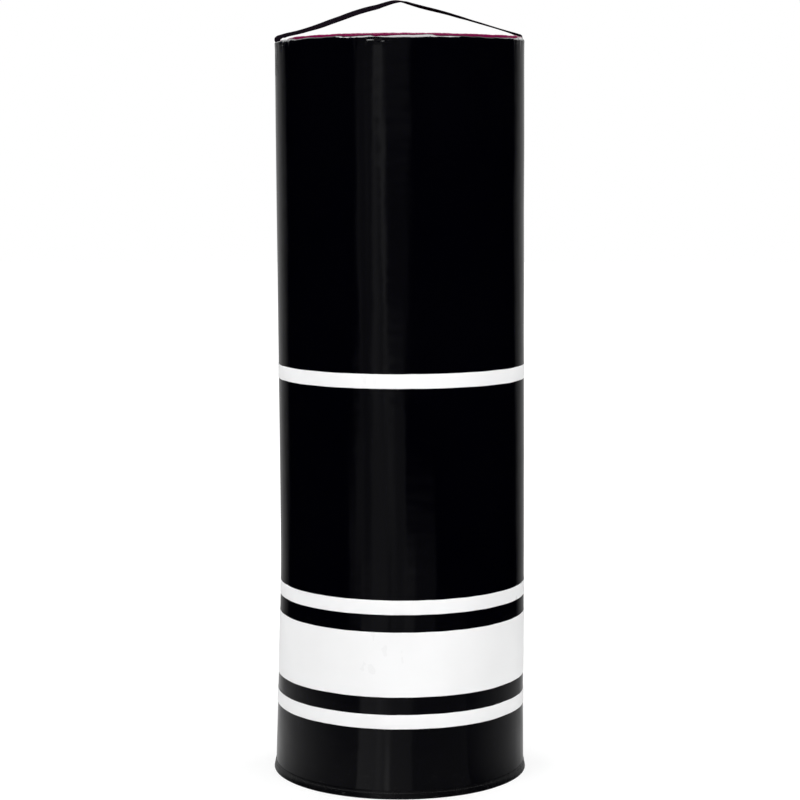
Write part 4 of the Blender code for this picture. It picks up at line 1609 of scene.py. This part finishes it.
def makeStitchPattern():
    # one stitch along X, lying on the cloth, flattened a little
    deselectAll()
    bpy.ops.mesh.primitive_uv_sphere_add(segments=8, ring_count=6, radius=1)
    stitch = added("stitchPattern")
    half, thick = stitchValues["length"] / 2, stitchValues["radius"]
    for vert in stitch.data.vertices:
        across, up, along = vert.co
        vert.co = Vector((along * half, across * thick, up * thick * stitchValues["flatten"]))
    return stitch


stitchPattern = makeStitchPattern()


def frameOf(here, ahead, outward):
    along = (ahead - here).normalized()
    up = (outward - along * outward.dot(along)).normalized()
    matrix = Matrix((along, up.cross(along), up)).transposed().to_4x4()
    lift = stitchValues["radius"] * stitchValues["flatten"] - stitchValues["sink"]
    matrix.translation = (here + ahead) / 2 + up * lift
    return matrix


def outFromAxis(point):
    return Vector((point.x, point.y, 0)).normalized()


def straightUp(point):
    return Vector((0, 0, 1))


def stitchRow(route, outwardAt=outFromAxis):
    # matrices of the stitches along a route of points
    lengths = [0.0]
    for first, second in zip(route, route[1:]):
        lengths.append(lengths[-1] + (second - first).length)

    def pointAt(distance):
        for i in range(len(route) - 1):
            if distance <= lengths[i + 1] or i == len(route) - 2:
                share = (distance - lengths[i]) / max(lengths[i + 1] - lengths[i], 1e-9)
                return route[i].lerp(route[i + 1], share)

    count = max(1, int(lengths[-1] / (stitchValues["length"] + stitchValues["gap"])))
    fit = lengths[-1] / count
    matrices = []
    for i in range(count):
        here = pointAt(fit * i + stitchValues["gap"] / 2)
        ahead = pointAt(fit * (i + 1) - stitchValues["gap"] / 2)
        matrices.append(frameOf(here, ahead, outwardAt((here + ahead) / 2)))
    return matrices


def coverRoute(start, end, low, high, out=0.0, count=12):
    # a line on the cover from one angle and height to another
    places = zip(spread(start, end, count + 1), spread(low, high, count + 1))
    return [onCover(angle, height, out) for angle, height in places]


def addStitches(name, rows, look=blackThread, nodes=()):
    finishPiece(copiesOf(name, stitchPattern, rows), look, nodes)


def stitchRounds():
    # topstitching round the crimson panel, and one row through the welt
    faces = [tuple(face.vertices) for face in topPanel.data.polygons]
    tree = BVHTree.FromPolygons([v.co for v in topPanel.data.vertices], faces)
    rounds = stitchValues["rounds"]
    angles = [fullTurn * i / rounds for i in range(rounds + 1)]
    reach = panelValues["rim"] - stitchValues["panelInset"]
    route = [tree.ray_cast(ringPoint(angle, reach, 2.0), Vector((0, 0, -1)))[0] for angle in angles]
    addStitches("panelStitching", stitchRow(route, straightUp), crimsonThread)
    rise, lip = stitchValues["weltPlace"]
    route = [onCover(angle, weltTop * rise, clearance + weltValues["lip"] * lip) for angle in angles]
    addStitches("weltStitching", stitchRow(route))


def stitchBack():
    # both edges of the back seam strip, and round the zip's end patch
    rows = []
    inset = stitchValues["edgeInset"] / bodyRadius
    ends = stitchValues["endInset"]
    outer = stripValues["out"] + stripValues["thickness"]
    low, high = riseOf("back_seam_strip")
    far = halfSpan("back_seam_strip") - inset
    for angle in (backAngle - far, backAngle + far):
        rows += stitchRow(coverRoute(angle, angle, low + ends, high - ends, outer, 60))
    low, high = riseOf("zip_end_patch")
    low, high = low + stitchValues["edgeInset"], high - stitchValues["edgeInset"]
    far = halfSpan("zip_end_patch") - inset
    left, right = backAngle - far, backAngle + far
    corners = [(left, low), (right, low), (right, high), (left, high), (left, low)]
    for (start, foot), (end, head) in zip(corners, corners[1:]):
        rows += stitchRow(coverRoute(start, end, foot, head, outer))
    addStitches("backStitching", rows)


def stitchZip():
    # two rows down each side of the zip, and one across its top for each pair
    rows = []
    below, above = stitchValues["zipEnds"]
    for off in stitchValues["zipRows"]:
        top = slotHigh + off - above
        left, right = backAngle - off / bodyRadius, backAngle + off / bodyRadius
        for angle in (left, right):
            rows += stitchRow(coverRoute(angle, angle, slotLow - below, top, 0.0, 60))
        rows += stitchRow(coverRoute(left, right, top, top))
    addStitches("zipStitching", rows)


def stitchStrapEnds():
    # a box with a cross on each end of the strap
    half = stitchValues["boxHalf"] / bodyRadius
    for side, middle in (("left", leftEnd), ("right", rightEnd)):
        node = f"handle_stitching_{side}"
        low, high = riseOf(node)
        left, right = middle - half, middle + half
        box = [(left, low), (right, low), (right, high), (left, high), (left, low), (right, high)]
        rows = []
        for (start, foot), (end, head) in [*zip(box, box[1:]), ((right, low), (left, high))]:
            rows += stitchRow(coverRoute(start, end, foot, head))
        addStitches(camelName(node), rows, nodes=[node])


stitchRounds()
stitchBack()
stitchZip()
stitchStrapEnds()
bpy.data.objects.remove(stitchPattern)
print("Stitching made")


# Inside: everything under the cover leans with it

fillValues = {
    "columns": 160,
    "rowHeight": 0.045,
    "channel": (0.085, 0.13),  # angles off the back between which the zip's channel ends
    "softness": 0.0010,
    "padRound": 0.004,
    "padRings": (0.93, 0.82, 0.66, 0.48, 0.3, 0.14, 0.06),
    "roofGap": 0.0006,
    "coreColumns": 96,
    "coreRound": 0.004,
}
# inset from the cover's face, thickness, how far it clears the zip's channel, crinkle, height of a row
tubeValues = {
    "inner_liner": (0.0014, 0.0005, 0.0026, 0.0004, 0.012),
    "roll_band_lower": (0.0024, 0.0008, 0.0030, 0.0, 0.01),
    "roll_band_middle": (0.0024, 0.0008, 0.0030, 0.0, 0.01),
    "roll_band_upper": (0.0024, 0.0008, 0.0030, 0.0, 0.01),
}


def innerPoint(angle, height, inset, dent=0.0):
    # inset is measured from the cover's face, and dent clears the zip's channel at the back
    radius = coverRadius(angle, height) - inset
    radius -= dent * (1 - smoothStep(*fillValues["channel"], offBack(angle)))
    return ringPoint(angle, radius, height)


def makeInnerTubes():
    for node, (inset, thickness, dent, crinkle, step) in tubeValues.items():

        def tubePoint(angle, height):
            rough = crinkle * abs(ringNoise(angle, 14, height * 16))
            return innerPoint(angle, height, inset + rough, dent)

        rows = [(tubePoint, height) for height in levels(*riseOf(node), step)]
        thing = loftRows(camelName(node), rows, fillValues["columns"])
        tidyFaces(thing)
        turnOutwards(thing)
        giveWall(thing, thickness)
        look, slot = (linerFilm, "liner_film") if crinkle else (innerWebbing, "inner_webbing")
        finishPiece(thing, look, [node], 60)


def makePad(node, inset, crown=0.0, roof=None):
    # a round pad that leans with the bag, with rounded edges and a crowned top that stays under a roof
    low, high = riseOf(node)
    top = high - crown
    edge = fillValues["padRound"]
    outline = [(edge, low), (edge * 0.3, low + edge * 0.3), (0.0, low + edge)]
    outline += [(0.0, height) for height in levels(low + edge * 1.5, top - edge * 1.5, 0.02)]
    outline += [(0.0, top - edge), (edge * 0.3, top - edge * 0.3), (edge, top)]

    def padPoint(angle, more, height, share=1.0):
        point = innerPoint(angle, min(height, bagTop), inset + more) * share
        point.z = height
        if roof:
            point.z = min(height, roof(angle, math.hypot(point.x, point.y)))
        return point

    rows = [(padPoint, edge, low, share) for share in (0.08, 0.4, 0.75)]
    rows += [(padPoint, more, height) for more, height in outline]
    rows += [(padPoint, edge, top + crown * (1 - share * share), share) for share in fillValues["padRings"]]
    pad = loftRows(camelName(node), rows, fillValues["columns"])
    closeRims(pad)
    finishPiece(pad, rollFoam, [node], 60)


def corePoint(angle, radius, height):
    lump = fillValues["softness"] * ringNoise(angle, 2, height * 9)
    point = ringPoint(angle, radius - abs(lump), height)
    point.x += bowAt(height) * 0.5
    return point


def makeCore():
    low, high = riseOf("foam_core")
    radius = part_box("foam_core")[1].x
    edge = fillValues["coreRound"]
    outline = [(radius * 0.1, low), (radius - edge, low), (radius, low + edge)]
    heights = levels(low + 3 * edge, high - 3 * edge, fillValues["rowHeight"])
    outline += [(radius, height) for height in heights]
    outline += [(radius, high - edge), (radius - edge, high), (radius * 0.1, high)]
    core = loftRows("foamCore", [(corePoint, *row) for row in outline], fillValues["coreColumns"])
    closeRims(core)
    finishPiece(core, rebondFoam, ["foam_core"], 60)


rollValues = {
    "turns": 4,
    "columns": 72,  # for each turn
    "startAngle": 0.4,
    "coreGap": 0.001,
    "coverGap": 0.0033,
    "turnGap": 0.0012,
    "wallGap": 0.0036,
    "channel": (0.085, 0.16),
    "channelDepth": 0.003,
    "edgeRound": 0.003,
}


def makeRoll():
    # one long sheet wound round the core
    turns = rollValues["turns"]
    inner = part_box("foam_core")[1].x + rollValues["coreGap"]
    outer = bodyRadius - rollValues["coverGap"]
    sheet = (outer - inner) / turns - rollValues["turnGap"]

    def rollPoint(share, height):
        angle = rollValues["startAngle"] + fullTurn * turns * share
        # the sheet's middle, wound evenly, and kept inside the cover and clear of the zip
        radius = inner + sheet / 2 + (outer - inner - sheet) * share
        limit = coverRadius(angle, height) - rollValues["wallGap"] - sheet / 2
        back = 1 - smoothStep(*rollValues["channel"], offBack(angle))
        point = ringPoint(angle, min(radius, limit - rollValues["channelDepth"] * back), height)
        point.x += bowAt(height) * (0.5 - 0.5 * share)
        return point

    rows = [(rollPoint, height) for height in levels(*riseOf("foam_roll"), fillValues["rowHeight"])]
    roll = loftRows("foamRoll", rows, rollValues["columns"] * turns, 0.0, 1.0)
    tidyFaces(roll)
    giveWall(roll, sheet, 0.0, rollValues["edgeRound"], 60)
    finishPiece(roll, rollFoam, ["foam_roll"], 60)


def underPanel(angle, radius):
    # the highest that the pad under the top panel can reach
    return panelHeight(angle, radius) - panelValues["wall"] - fillValues["roofGap"]


makeInnerTubes()
makeCore()
makeRoll()
makePad("foam_base_pad", 0.0031)
makePad("foam_top_pad", 0.0078, 0.0024, underPanel)
print("Filling made")


# Inside the top seam: strap tails, the patches behind them, and the seam tape

seamValues = {
    "inset": 0.00125,
    "tailStop": 0.0013,
    "tailRound": 0.0006,
    "patchGap": 0.0002,
    "patchThickness": 0.0010,
    "patchRound": 0.0003,
    "tapeThickness": 0.0019,
    "tapeRise": 0.0012,
    "tapeRound": 0.0005,
}


def makeSeamPieces():
    thick, patch, tape = strapValues["thickness"], seamValues["patchThickness"], seamValues["tapeThickness"]
    tailOut = -seamValues["inset"] - thick
    for side, middle in (("left", leftEnd), ("right", rightEnd)):
        node = f"handle_tail_{side}"
        rise = (riseOf(node)[0], bagTop - seamValues["tailStop"])
        makeStrip(
            camelName(node), (middle - endHalf, middle + endHalf), rise, tailOut, thick,
            tailWebbing, node, (12, 8), seamValues["tailRound"],
        )
        node = f"handle_patch_{side}"
        turns = [turnBetween(math.atan2(c.y, c.x), middle) for c in cornersOf(node)]
        makeStrip(
            camelName(node), (middle + min(turns), middle + max(turns)), riseOf(node),
            tailOut - seamValues["patchGap"] - patch, patch,
            coverVinyl, node, (14, 8), seamValues["patchRound"],
        )
    for side, arc in seamArcs.items():
        node = f"top_seam_tape_{side}"
        rise = (riseOf(node)[0], shoulderBase + seamValues["tapeRise"])
        makeStrip(
            f"seamTape{side.capitalize()}", arc, rise, -seamValues["inset"] - tape, tape,
            innerWebbing, node, (120, 3), seamValues["tapeRound"],
        )


makeSeamPieces()
print("Seam pieces made")


# Base: the panel that the welt holds, and the rubber disc that meets the floor

baseValues = {
    "columns": 256,
    "rimInset": 0.00125,
    "thickness": 0.0010,
    "corner": 0.004,
    "rings": (0.9, 0.7, 0.45, 0.2, 0.05),
    "poleReach": 0.03,
    "discReach": 1.0005,  # share of the CAD disc's radius, because its rim is a polygon
    "treadInsets": (0.012, 0.010, 0.022, 0.010, 0.022, 0.010, 0.022, 0.010),
    "treadDepth": 0.0005,
    "discRound": 0.0003,
}


def makeBasePanel():
    low, high = riseOf("base_panel")
    corner = baseValues["corner"]
    under = low + baseValues["thickness"]

    def basePoint(angle, inset, height, share=1.0):
        radius = coverRadius(angle, min(height, high)) - baseValues["rimInset"] - inset
        return ringPoint(angle, radius * share, height)

    rows = [(basePoint, 0.0, height) for height in levels(high, under + corner, 0.004)]
    for turn in map(math.radians, (30, 60, 90)):
        rows.append((basePoint, corner * (1 - math.cos(turn)), under + corner * (1 - math.sin(turn))))
    rows += [(basePoint, corner, under, share) for share in baseValues["rings"]]
    panel = loftRows("basePanel", rows, baseValues["columns"])
    closeRims(panel, baseValues["poleReach"])
    turnOutwards(panel)
    giveWall(panel, baseValues["thickness"], 0.0)
    finishPiece(panel, weltVinyl, ["base_panel"])


def makeWearDisc():
    low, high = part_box("base_wear_disc")
    deselectAll()
    radius, place = high.x * baseValues["discReach"], (0, 0, high.z / 2)
    bpy.ops.mesh.primitive_cylinder_add(vertices=128, radius=radius, depth=high.z - low.z, location=place)
    disc = added("wearDisc")
    bpy.ops.object.transform_apply(location=True, rotation=False, scale=False)
    openEdit(disc)
    # rings of tread are sunk into the underside, each inset from the face that the last one left
    for inset in baseValues["treadInsets"]:
        mesh = bmesh.from_edit_mesh(disc.data)
        widest = max(face.calc_area() for face in mesh.faces if face.normal.z < -0.9)
        selectWhere(disc, "FACE", lambda face: face.normal.z < -0.9 and face.calc_area() == widest)
        bpy.ops.mesh.inset(thickness=inset, depth=0)

    def reachOf(corner):
        return round(math.hypot(corner.x, corner.y), 4)

    mesh = bmesh.from_edit_mesh(disc.data)
    rings = sorted({reachOf(v.co) for v in mesh.verts if v.co.z < 0.0001}, reverse=True)

    def sink(corner):
        reach = reachOf(corner)
        if corner.z < 0.0001 and reach in rings and rings.index(reach) % 4 in (2, 3):
            corner.z += baseValues["treadDepth"]

    moveCorners(disc, sink)
    closeEdit()
    addBevel(disc, baseValues["discRound"], 60)
    applyModifiers(disc)
    finishPiece(disc, wearRubber, ["base_wear_disc"], 30)


makeBasePanel()
makeWearDisc()
print("Base made")


# Floor, backdrop and lamps

stageValues = {
    "floorSize": 40.0,
    "floorColour": (0.80, 0.80, 0.80, 1),
    "shadeColour": (0.34, 0.34, 0.34, 1),
    "shadowShare": 0.30,
    "shadowReach": (0.5, 2.2),
    # sideGlow, leftGlow and mirrorReach shape the floor's glow that only reflections see, and rearGlow the
    # pale glow behind the bag on the floor and in the world: painted reflection light on the floor
    "sideGlow": (0.045, 0.40),  # in front of the bag and beside it
    "sideSpan": (-0.7, 0.35),
    "leftGlow": 0.10,
    "leftSpan": (-0.6, 0.1),
    "mirrorReach": (0.35, 1.6),
    "rearGlow": 0.37,
    "rearSteps": ((0.62, 0.0), (0.80, 0.40), (1.0, 1.0)),  # how far behind the bag, share of that glow
    "ambient": 0.42,
    "cardSoft": 0.022,
    "cardFade": 0.09,
    "cardFront": 0.02,
    # the cards' heights are those at which the bag mirrors them for an eye this high and this far off
    "eyeHeight": 1.15,
    "eyeReach": 3.87,
}


# Cards of glow in front of the bag that only reflections see, which its glossy side mirrors as streaks: the
# world's light for glossy rays, and painted reflection light on the floor. For each: its left and right end
# as a bearing (sideways per forward), the heights between which the bag shows it, and its glow.
frontCards = [
    (-0.860, -0.250, 0.70, 3.0, 0.080), (-0.250, 0.155, 1.20, 3.0, 0.090),
    (-0.250, 0.105, 0.82, 1.20, 0.045), (-0.250, 0.050, 0.42, 0.82, 0.115),
    (-0.450, -0.250, 1.22, 3.0, 0.250), (-0.490, -0.390, 0.72, 1.22, 0.140),
    (-0.390, -0.330, 0.72, 1.22, 0.070), (-0.335, -0.270, 1.12, 1.22, 0.240),
    (-0.310, -0.250, 0.95, 1.12, 0.280), (-0.300, -0.225, 0.76, 0.95, 0.200),
    (-0.830, -0.765, 0.80, 1.20, 0.050), (-0.630, -0.550, 0.95, 1.32, 0.040),
    (-1.000, -0.700, 0.36, 0.70, 0.115), (-0.700, -0.560, 0.36, 0.70, 0.080),
    (-0.560, -0.250, 0.36, 0.70, 0.115), (-0.530, -0.110, 0.36, 0.74, 0.050),
    (-0.227, -0.145, 0.56, 0.72, 0.060), (-1.200, -1.000, 0.36, 0.54, 0.085),
    (0.030, 0.600, 0.28, 0.52, 0.070), (-0.790, -0.215, -1.0, 0.36, 0.210),
    (-0.228, -0.160, -1.0, 0.16, 0.330), (-0.405, -0.315, -1.0, 0.30, 0.060),
    (-0.190, 0.190, -1.0, 0.42, 0.140), (0.190, 1.800, -1.0, 0.30, 0.050),
]


def makeCardGroup():
    # how brightly the cards shine at a bearing and a height; they keep their places in every view
    group, start, end = newGroup("studioCards", {"Bearing": 0.0, "Height": 0.0}, {"Glow": "NodeSocketFloat"})
    soft, fade = stageValues["cardSoft"], stageValues["cardFade"]
    bearing, height = start["Bearing"], start["Height"]
    total = None
    for left, right, low, high, glow in frontCards:
        wide = times(
            group, rangeNode(group, bearing, left - soft, left + soft, 0.0, glow),
            rangeNode(group, bearing, right - soft, right + soft, 1.0, 0.0),
        )
        tall = times(
            group, rangeNode(group, height, low - fade, low + fade),
            rangeNode(group, height, high - fade, high + fade, 1.0, 0.0),
        )
        card = times(group, wide, tall)
        total = card if total is None else plus(group, total, card)
    wire(group, total, end["Glow"])
    return group


def cardGlow(tree, group, parts, distance=None):
    # a distance means a floor point, which glows with the painted light of the card that would stand behind
    # it
    ahead = times(tree, parts["Y"], -1.0)
    eyeHeight, eyeReach = stageValues["eyeHeight"], stageValues["eyeReach"]
    if distance is not None:
        far = mathNode(tree, "SUBTRACT", distance, bodyRadius)
        shown = mathNode(tree, "DIVIDE", times(tree, far, eyeHeight), plus(tree, far, eyeReach))
        ahead = mathNode(tree, "SUBTRACT", ahead, bodyRadius / 2)
    else:
        slope = mathNode(tree, "DIVIDE", parts["Z"], mathNode(tree, "MAXIMUM", ahead, 0.05))
        shown = plus(tree, times(tree, slope, eyeReach), eyeHeight)
    node = groupNode(tree, group, Bearing=mathNode(tree, "DIVIDE", parts["X"], ahead), Height=shown)
    return times(tree, node.outputs["Glow"], mathNode(tree, "GREATER_THAN", ahead, stageValues["cardFront"]))


def rearShare(tree, bearing):
    # 0 in front of the bag, rising to 1 straight behind it
    rear = newNode(tree, "ShaderNodeValToRGB", Fac=bearing)
    steps = rear.color_ramp.elements
    (first, dark), (middle, half), (last, full) = stageValues["rearSteps"]
    steps[0].position, steps[1].position = first, last
    steps[0].color = (dark, dark, dark, 1)
    steps[1].color = (full, full, full, 1)
    steps.new(middle).color = (half, half, half, 1)
    return rear.outputs[0]


def mixShaders(tree, share, first, second):
    mix = newNode(tree, "ShaderNodeMixShader", Fac=share)
    wire(tree, first.outputs[0], mix.inputs[1])
    wire(tree, second.outputs[0], mix.inputs[2])
    return mix


def makeFloor(cards):
    deselectAll()
    bpy.ops.mesh.primitive_plane_add(size=stageValues["floorSize"], location=(0, 0, 0))
    floor = added("studioFloor")
    look = bpy.data.materials.new("studioFloor")
    look.use_nodes = True
    tree = look.node_tree
    tree.nodes.remove(tree.nodes["Principled BSDF"])
    place = objectPlace(tree)
    distance = lengthOf(tree, place)
    rays = newNode(tree, "ShaderNodeLightPath").outputs
    pale = newNode(tree, "ShaderNodeBsdfDiffuse", Color=stageValues["floorColour"])
    shade = newNode(tree, "ShaderNodeBsdfDiffuse", Color=stageValues["shadeColour"])
    lit = rangeNode(tree, distance, *stageValues["shadowReach"], 1 - stageValues["shadowShare"], 1.0)
    seen = tree.nodes.new("ShaderNodeAddShader")
    wire(tree, newNode(tree, "ShaderNodeEmission", Strength=lit).outputs[0], seen.inputs[0])
    wire(tree, shade.outputs[0], seen.inputs[1])
    mix = mixShaders(tree, rays["Is Camera Ray"], pale, seen)
    # reflections show painted light that the floor glows with though it is no lamp: a glow near the bag and
    # beside it, the cards' streaks, and the pale glow behind the bag, because the studio in front of it is
    # dark
    parts = partsOf(tree, place)
    bearing = mathNode(tree, "DIVIDE", parts["Y"], distance)
    aside = mathNode(tree, "DIVIDE", parts["X"], distance)
    sides = rangeNode(tree, bearing, *stageValues["sideSpan"], *stageValues["sideGlow"])
    around = plus(tree, sides, rangeNode(tree, aside, *stageValues["leftSpan"], stageValues["leftGlow"], 0.0))
    near = times(tree, around, rangeNode(tree, distance, *stageValues["mirrorReach"], 1.0, 0.0))
    rear = times(tree, rearShare(tree, bearing), stageValues["rearGlow"])
    total = plus(tree, plus(tree, near, rear), cardGlow(tree, cards, parts, distance))
    mirrored = newNode(tree, "ShaderNodeEmission", Strength=total)
    glossy = mixShaders(tree, rays["Is Glossy Ray"], mix, mirrored)
    wire(tree, glossy.outputs[0], tree.nodes["Material Output"].inputs["Surface"])
    floor.data.materials.append(look)


def makeWorld(cards):
    world = bpy.data.worlds.new("studio")
    bpy.context.scene.world = world
    world.use_nodes = True
    tree = world.node_tree
    tree.nodes.clear()
    rays = newNode(tree, "ShaderNodeLightPath").outputs
    parts = partsOf(tree, newNode(tree, "ShaderNodeTexCoord").outputs["Generated"])
    # the pale backdrop stands behind the bag, and the room in front of it is dark but for the cards
    rear = times(tree, rearShare(tree, parts["Y"]), stageValues["rearGlow"])
    lit = tree.nodes.new("ShaderNodeMix")
    wire(tree, rays["Is Glossy Ray"], lit.inputs[0])
    lit.inputs[2].default_value = stageValues["ambient"]
    wire(tree, plus(tree, rear, cardGlow(tree, cards, parts)), lit.inputs[3])
    shown = tree.nodes.new("ShaderNodeMix")
    wire(tree, mathNode(tree, "MAXIMUM", rays["Is Camera Ray"], rays["Is Transmission Ray"]), shown.inputs[0])
    wire(tree, lit.outputs[0], shown.inputs[2])
    shown.inputs[3].default_value = 1.0
    background = newNode(tree, "ShaderNodeBackground", Color=(1, 1, 1, 1), Strength=shown.outputs[0])
    wire(tree, background.outputs[0], tree.nodes.new("ShaderNodeOutputWorld").inputs["Surface"])


# the first five lamps light surfaces, and only the last two are seen in reflections
lampValues = {
    "overhead": {"at": (0.0, 0.5, 3.4), "size": (2.6, 2.2), "radiance": 2.2, "mirrored": False},
    "frontLeft": {"at": (-2.6, -3.4, 2.4), "size": (2.0, 2.4), "radiance": 6.2, "mirrored": False},
    "frontRight": {"at": (3.0, -2.6, 1.8), "size": (1.8, 2.2), "radiance": 4.6, "mirrored": False},
    "rearLeft": {"at": (-2.6, 3.2, 2.0), "size": (1.8, 2.2), "radiance": 4.2, "mirrored": False},
    "rearRight": {"at": (2.8, 3.0, 2.2), "size": (1.8, 2.2), "radiance": 4.2, "mirrored": False},
    "skylight": {"at": (0.0, 3.0, 3.6), "size": (6.0, 4.0), "radiance": 1.3, "mirrored": True},
    "topGloss": {"at": (0.0, -0.9, 3.7), "size": (3.4, 2.6), "radiance": 16.0, "mirrored": True},
}


def makeLamps():
    target = Vector((0, 0, bagTop / 2))
    for name, values in lampValues.items():
        data = bpy.data.lights.new(name, "AREA")
        data.shape = "RECTANGLE"
        data.size, data.size_y = values["size"]
        data.energy = values["radiance"] * math.pi * values["size"][0] * values["size"][1]
        lamp = linked(name, data)
        lamp.location = values["at"]
        lamp.rotation_euler = (target - lamp.location).to_track_quat("-Z", "Y").to_euler()
        lamp.visible_camera = False
        lamp.visible_glossy = values["mirrored"]
        lamp.visible_diffuse = not values["mirrored"]


cameraValues = {
    "sensor": 36,
    "focal": 2205.5 / 800,  # share of the sensor's width
    "place": (0, -4.102, 1.15),  # at chest height
    "tiltDown": 6.3,
    "clip": (0.05, 100),
}


def makeCamera():
    data = bpy.data.cameras.new("camera")
    data.sensor_width = cameraValues["sensor"]
    data.lens = cameraValues["focal"] * data.sensor_width
    data.clip_start, data.clip_end = cameraValues["clip"]
    camera = linked("camera", data)
    camera.location = cameraValues["place"]
    camera.rotation_euler = (math.radians(90 - cameraValues["tiltDown"]), 0, 0)
    bpy.context.scene.camera = camera


cardGroup = makeCardGroup()
makeFloor(cardGroup)
makeWorld(cardGroup)
makeLamps()
makeCamera()
bpy.context.scene.view_settings.view_transform = "Standard"
print("Stage made")
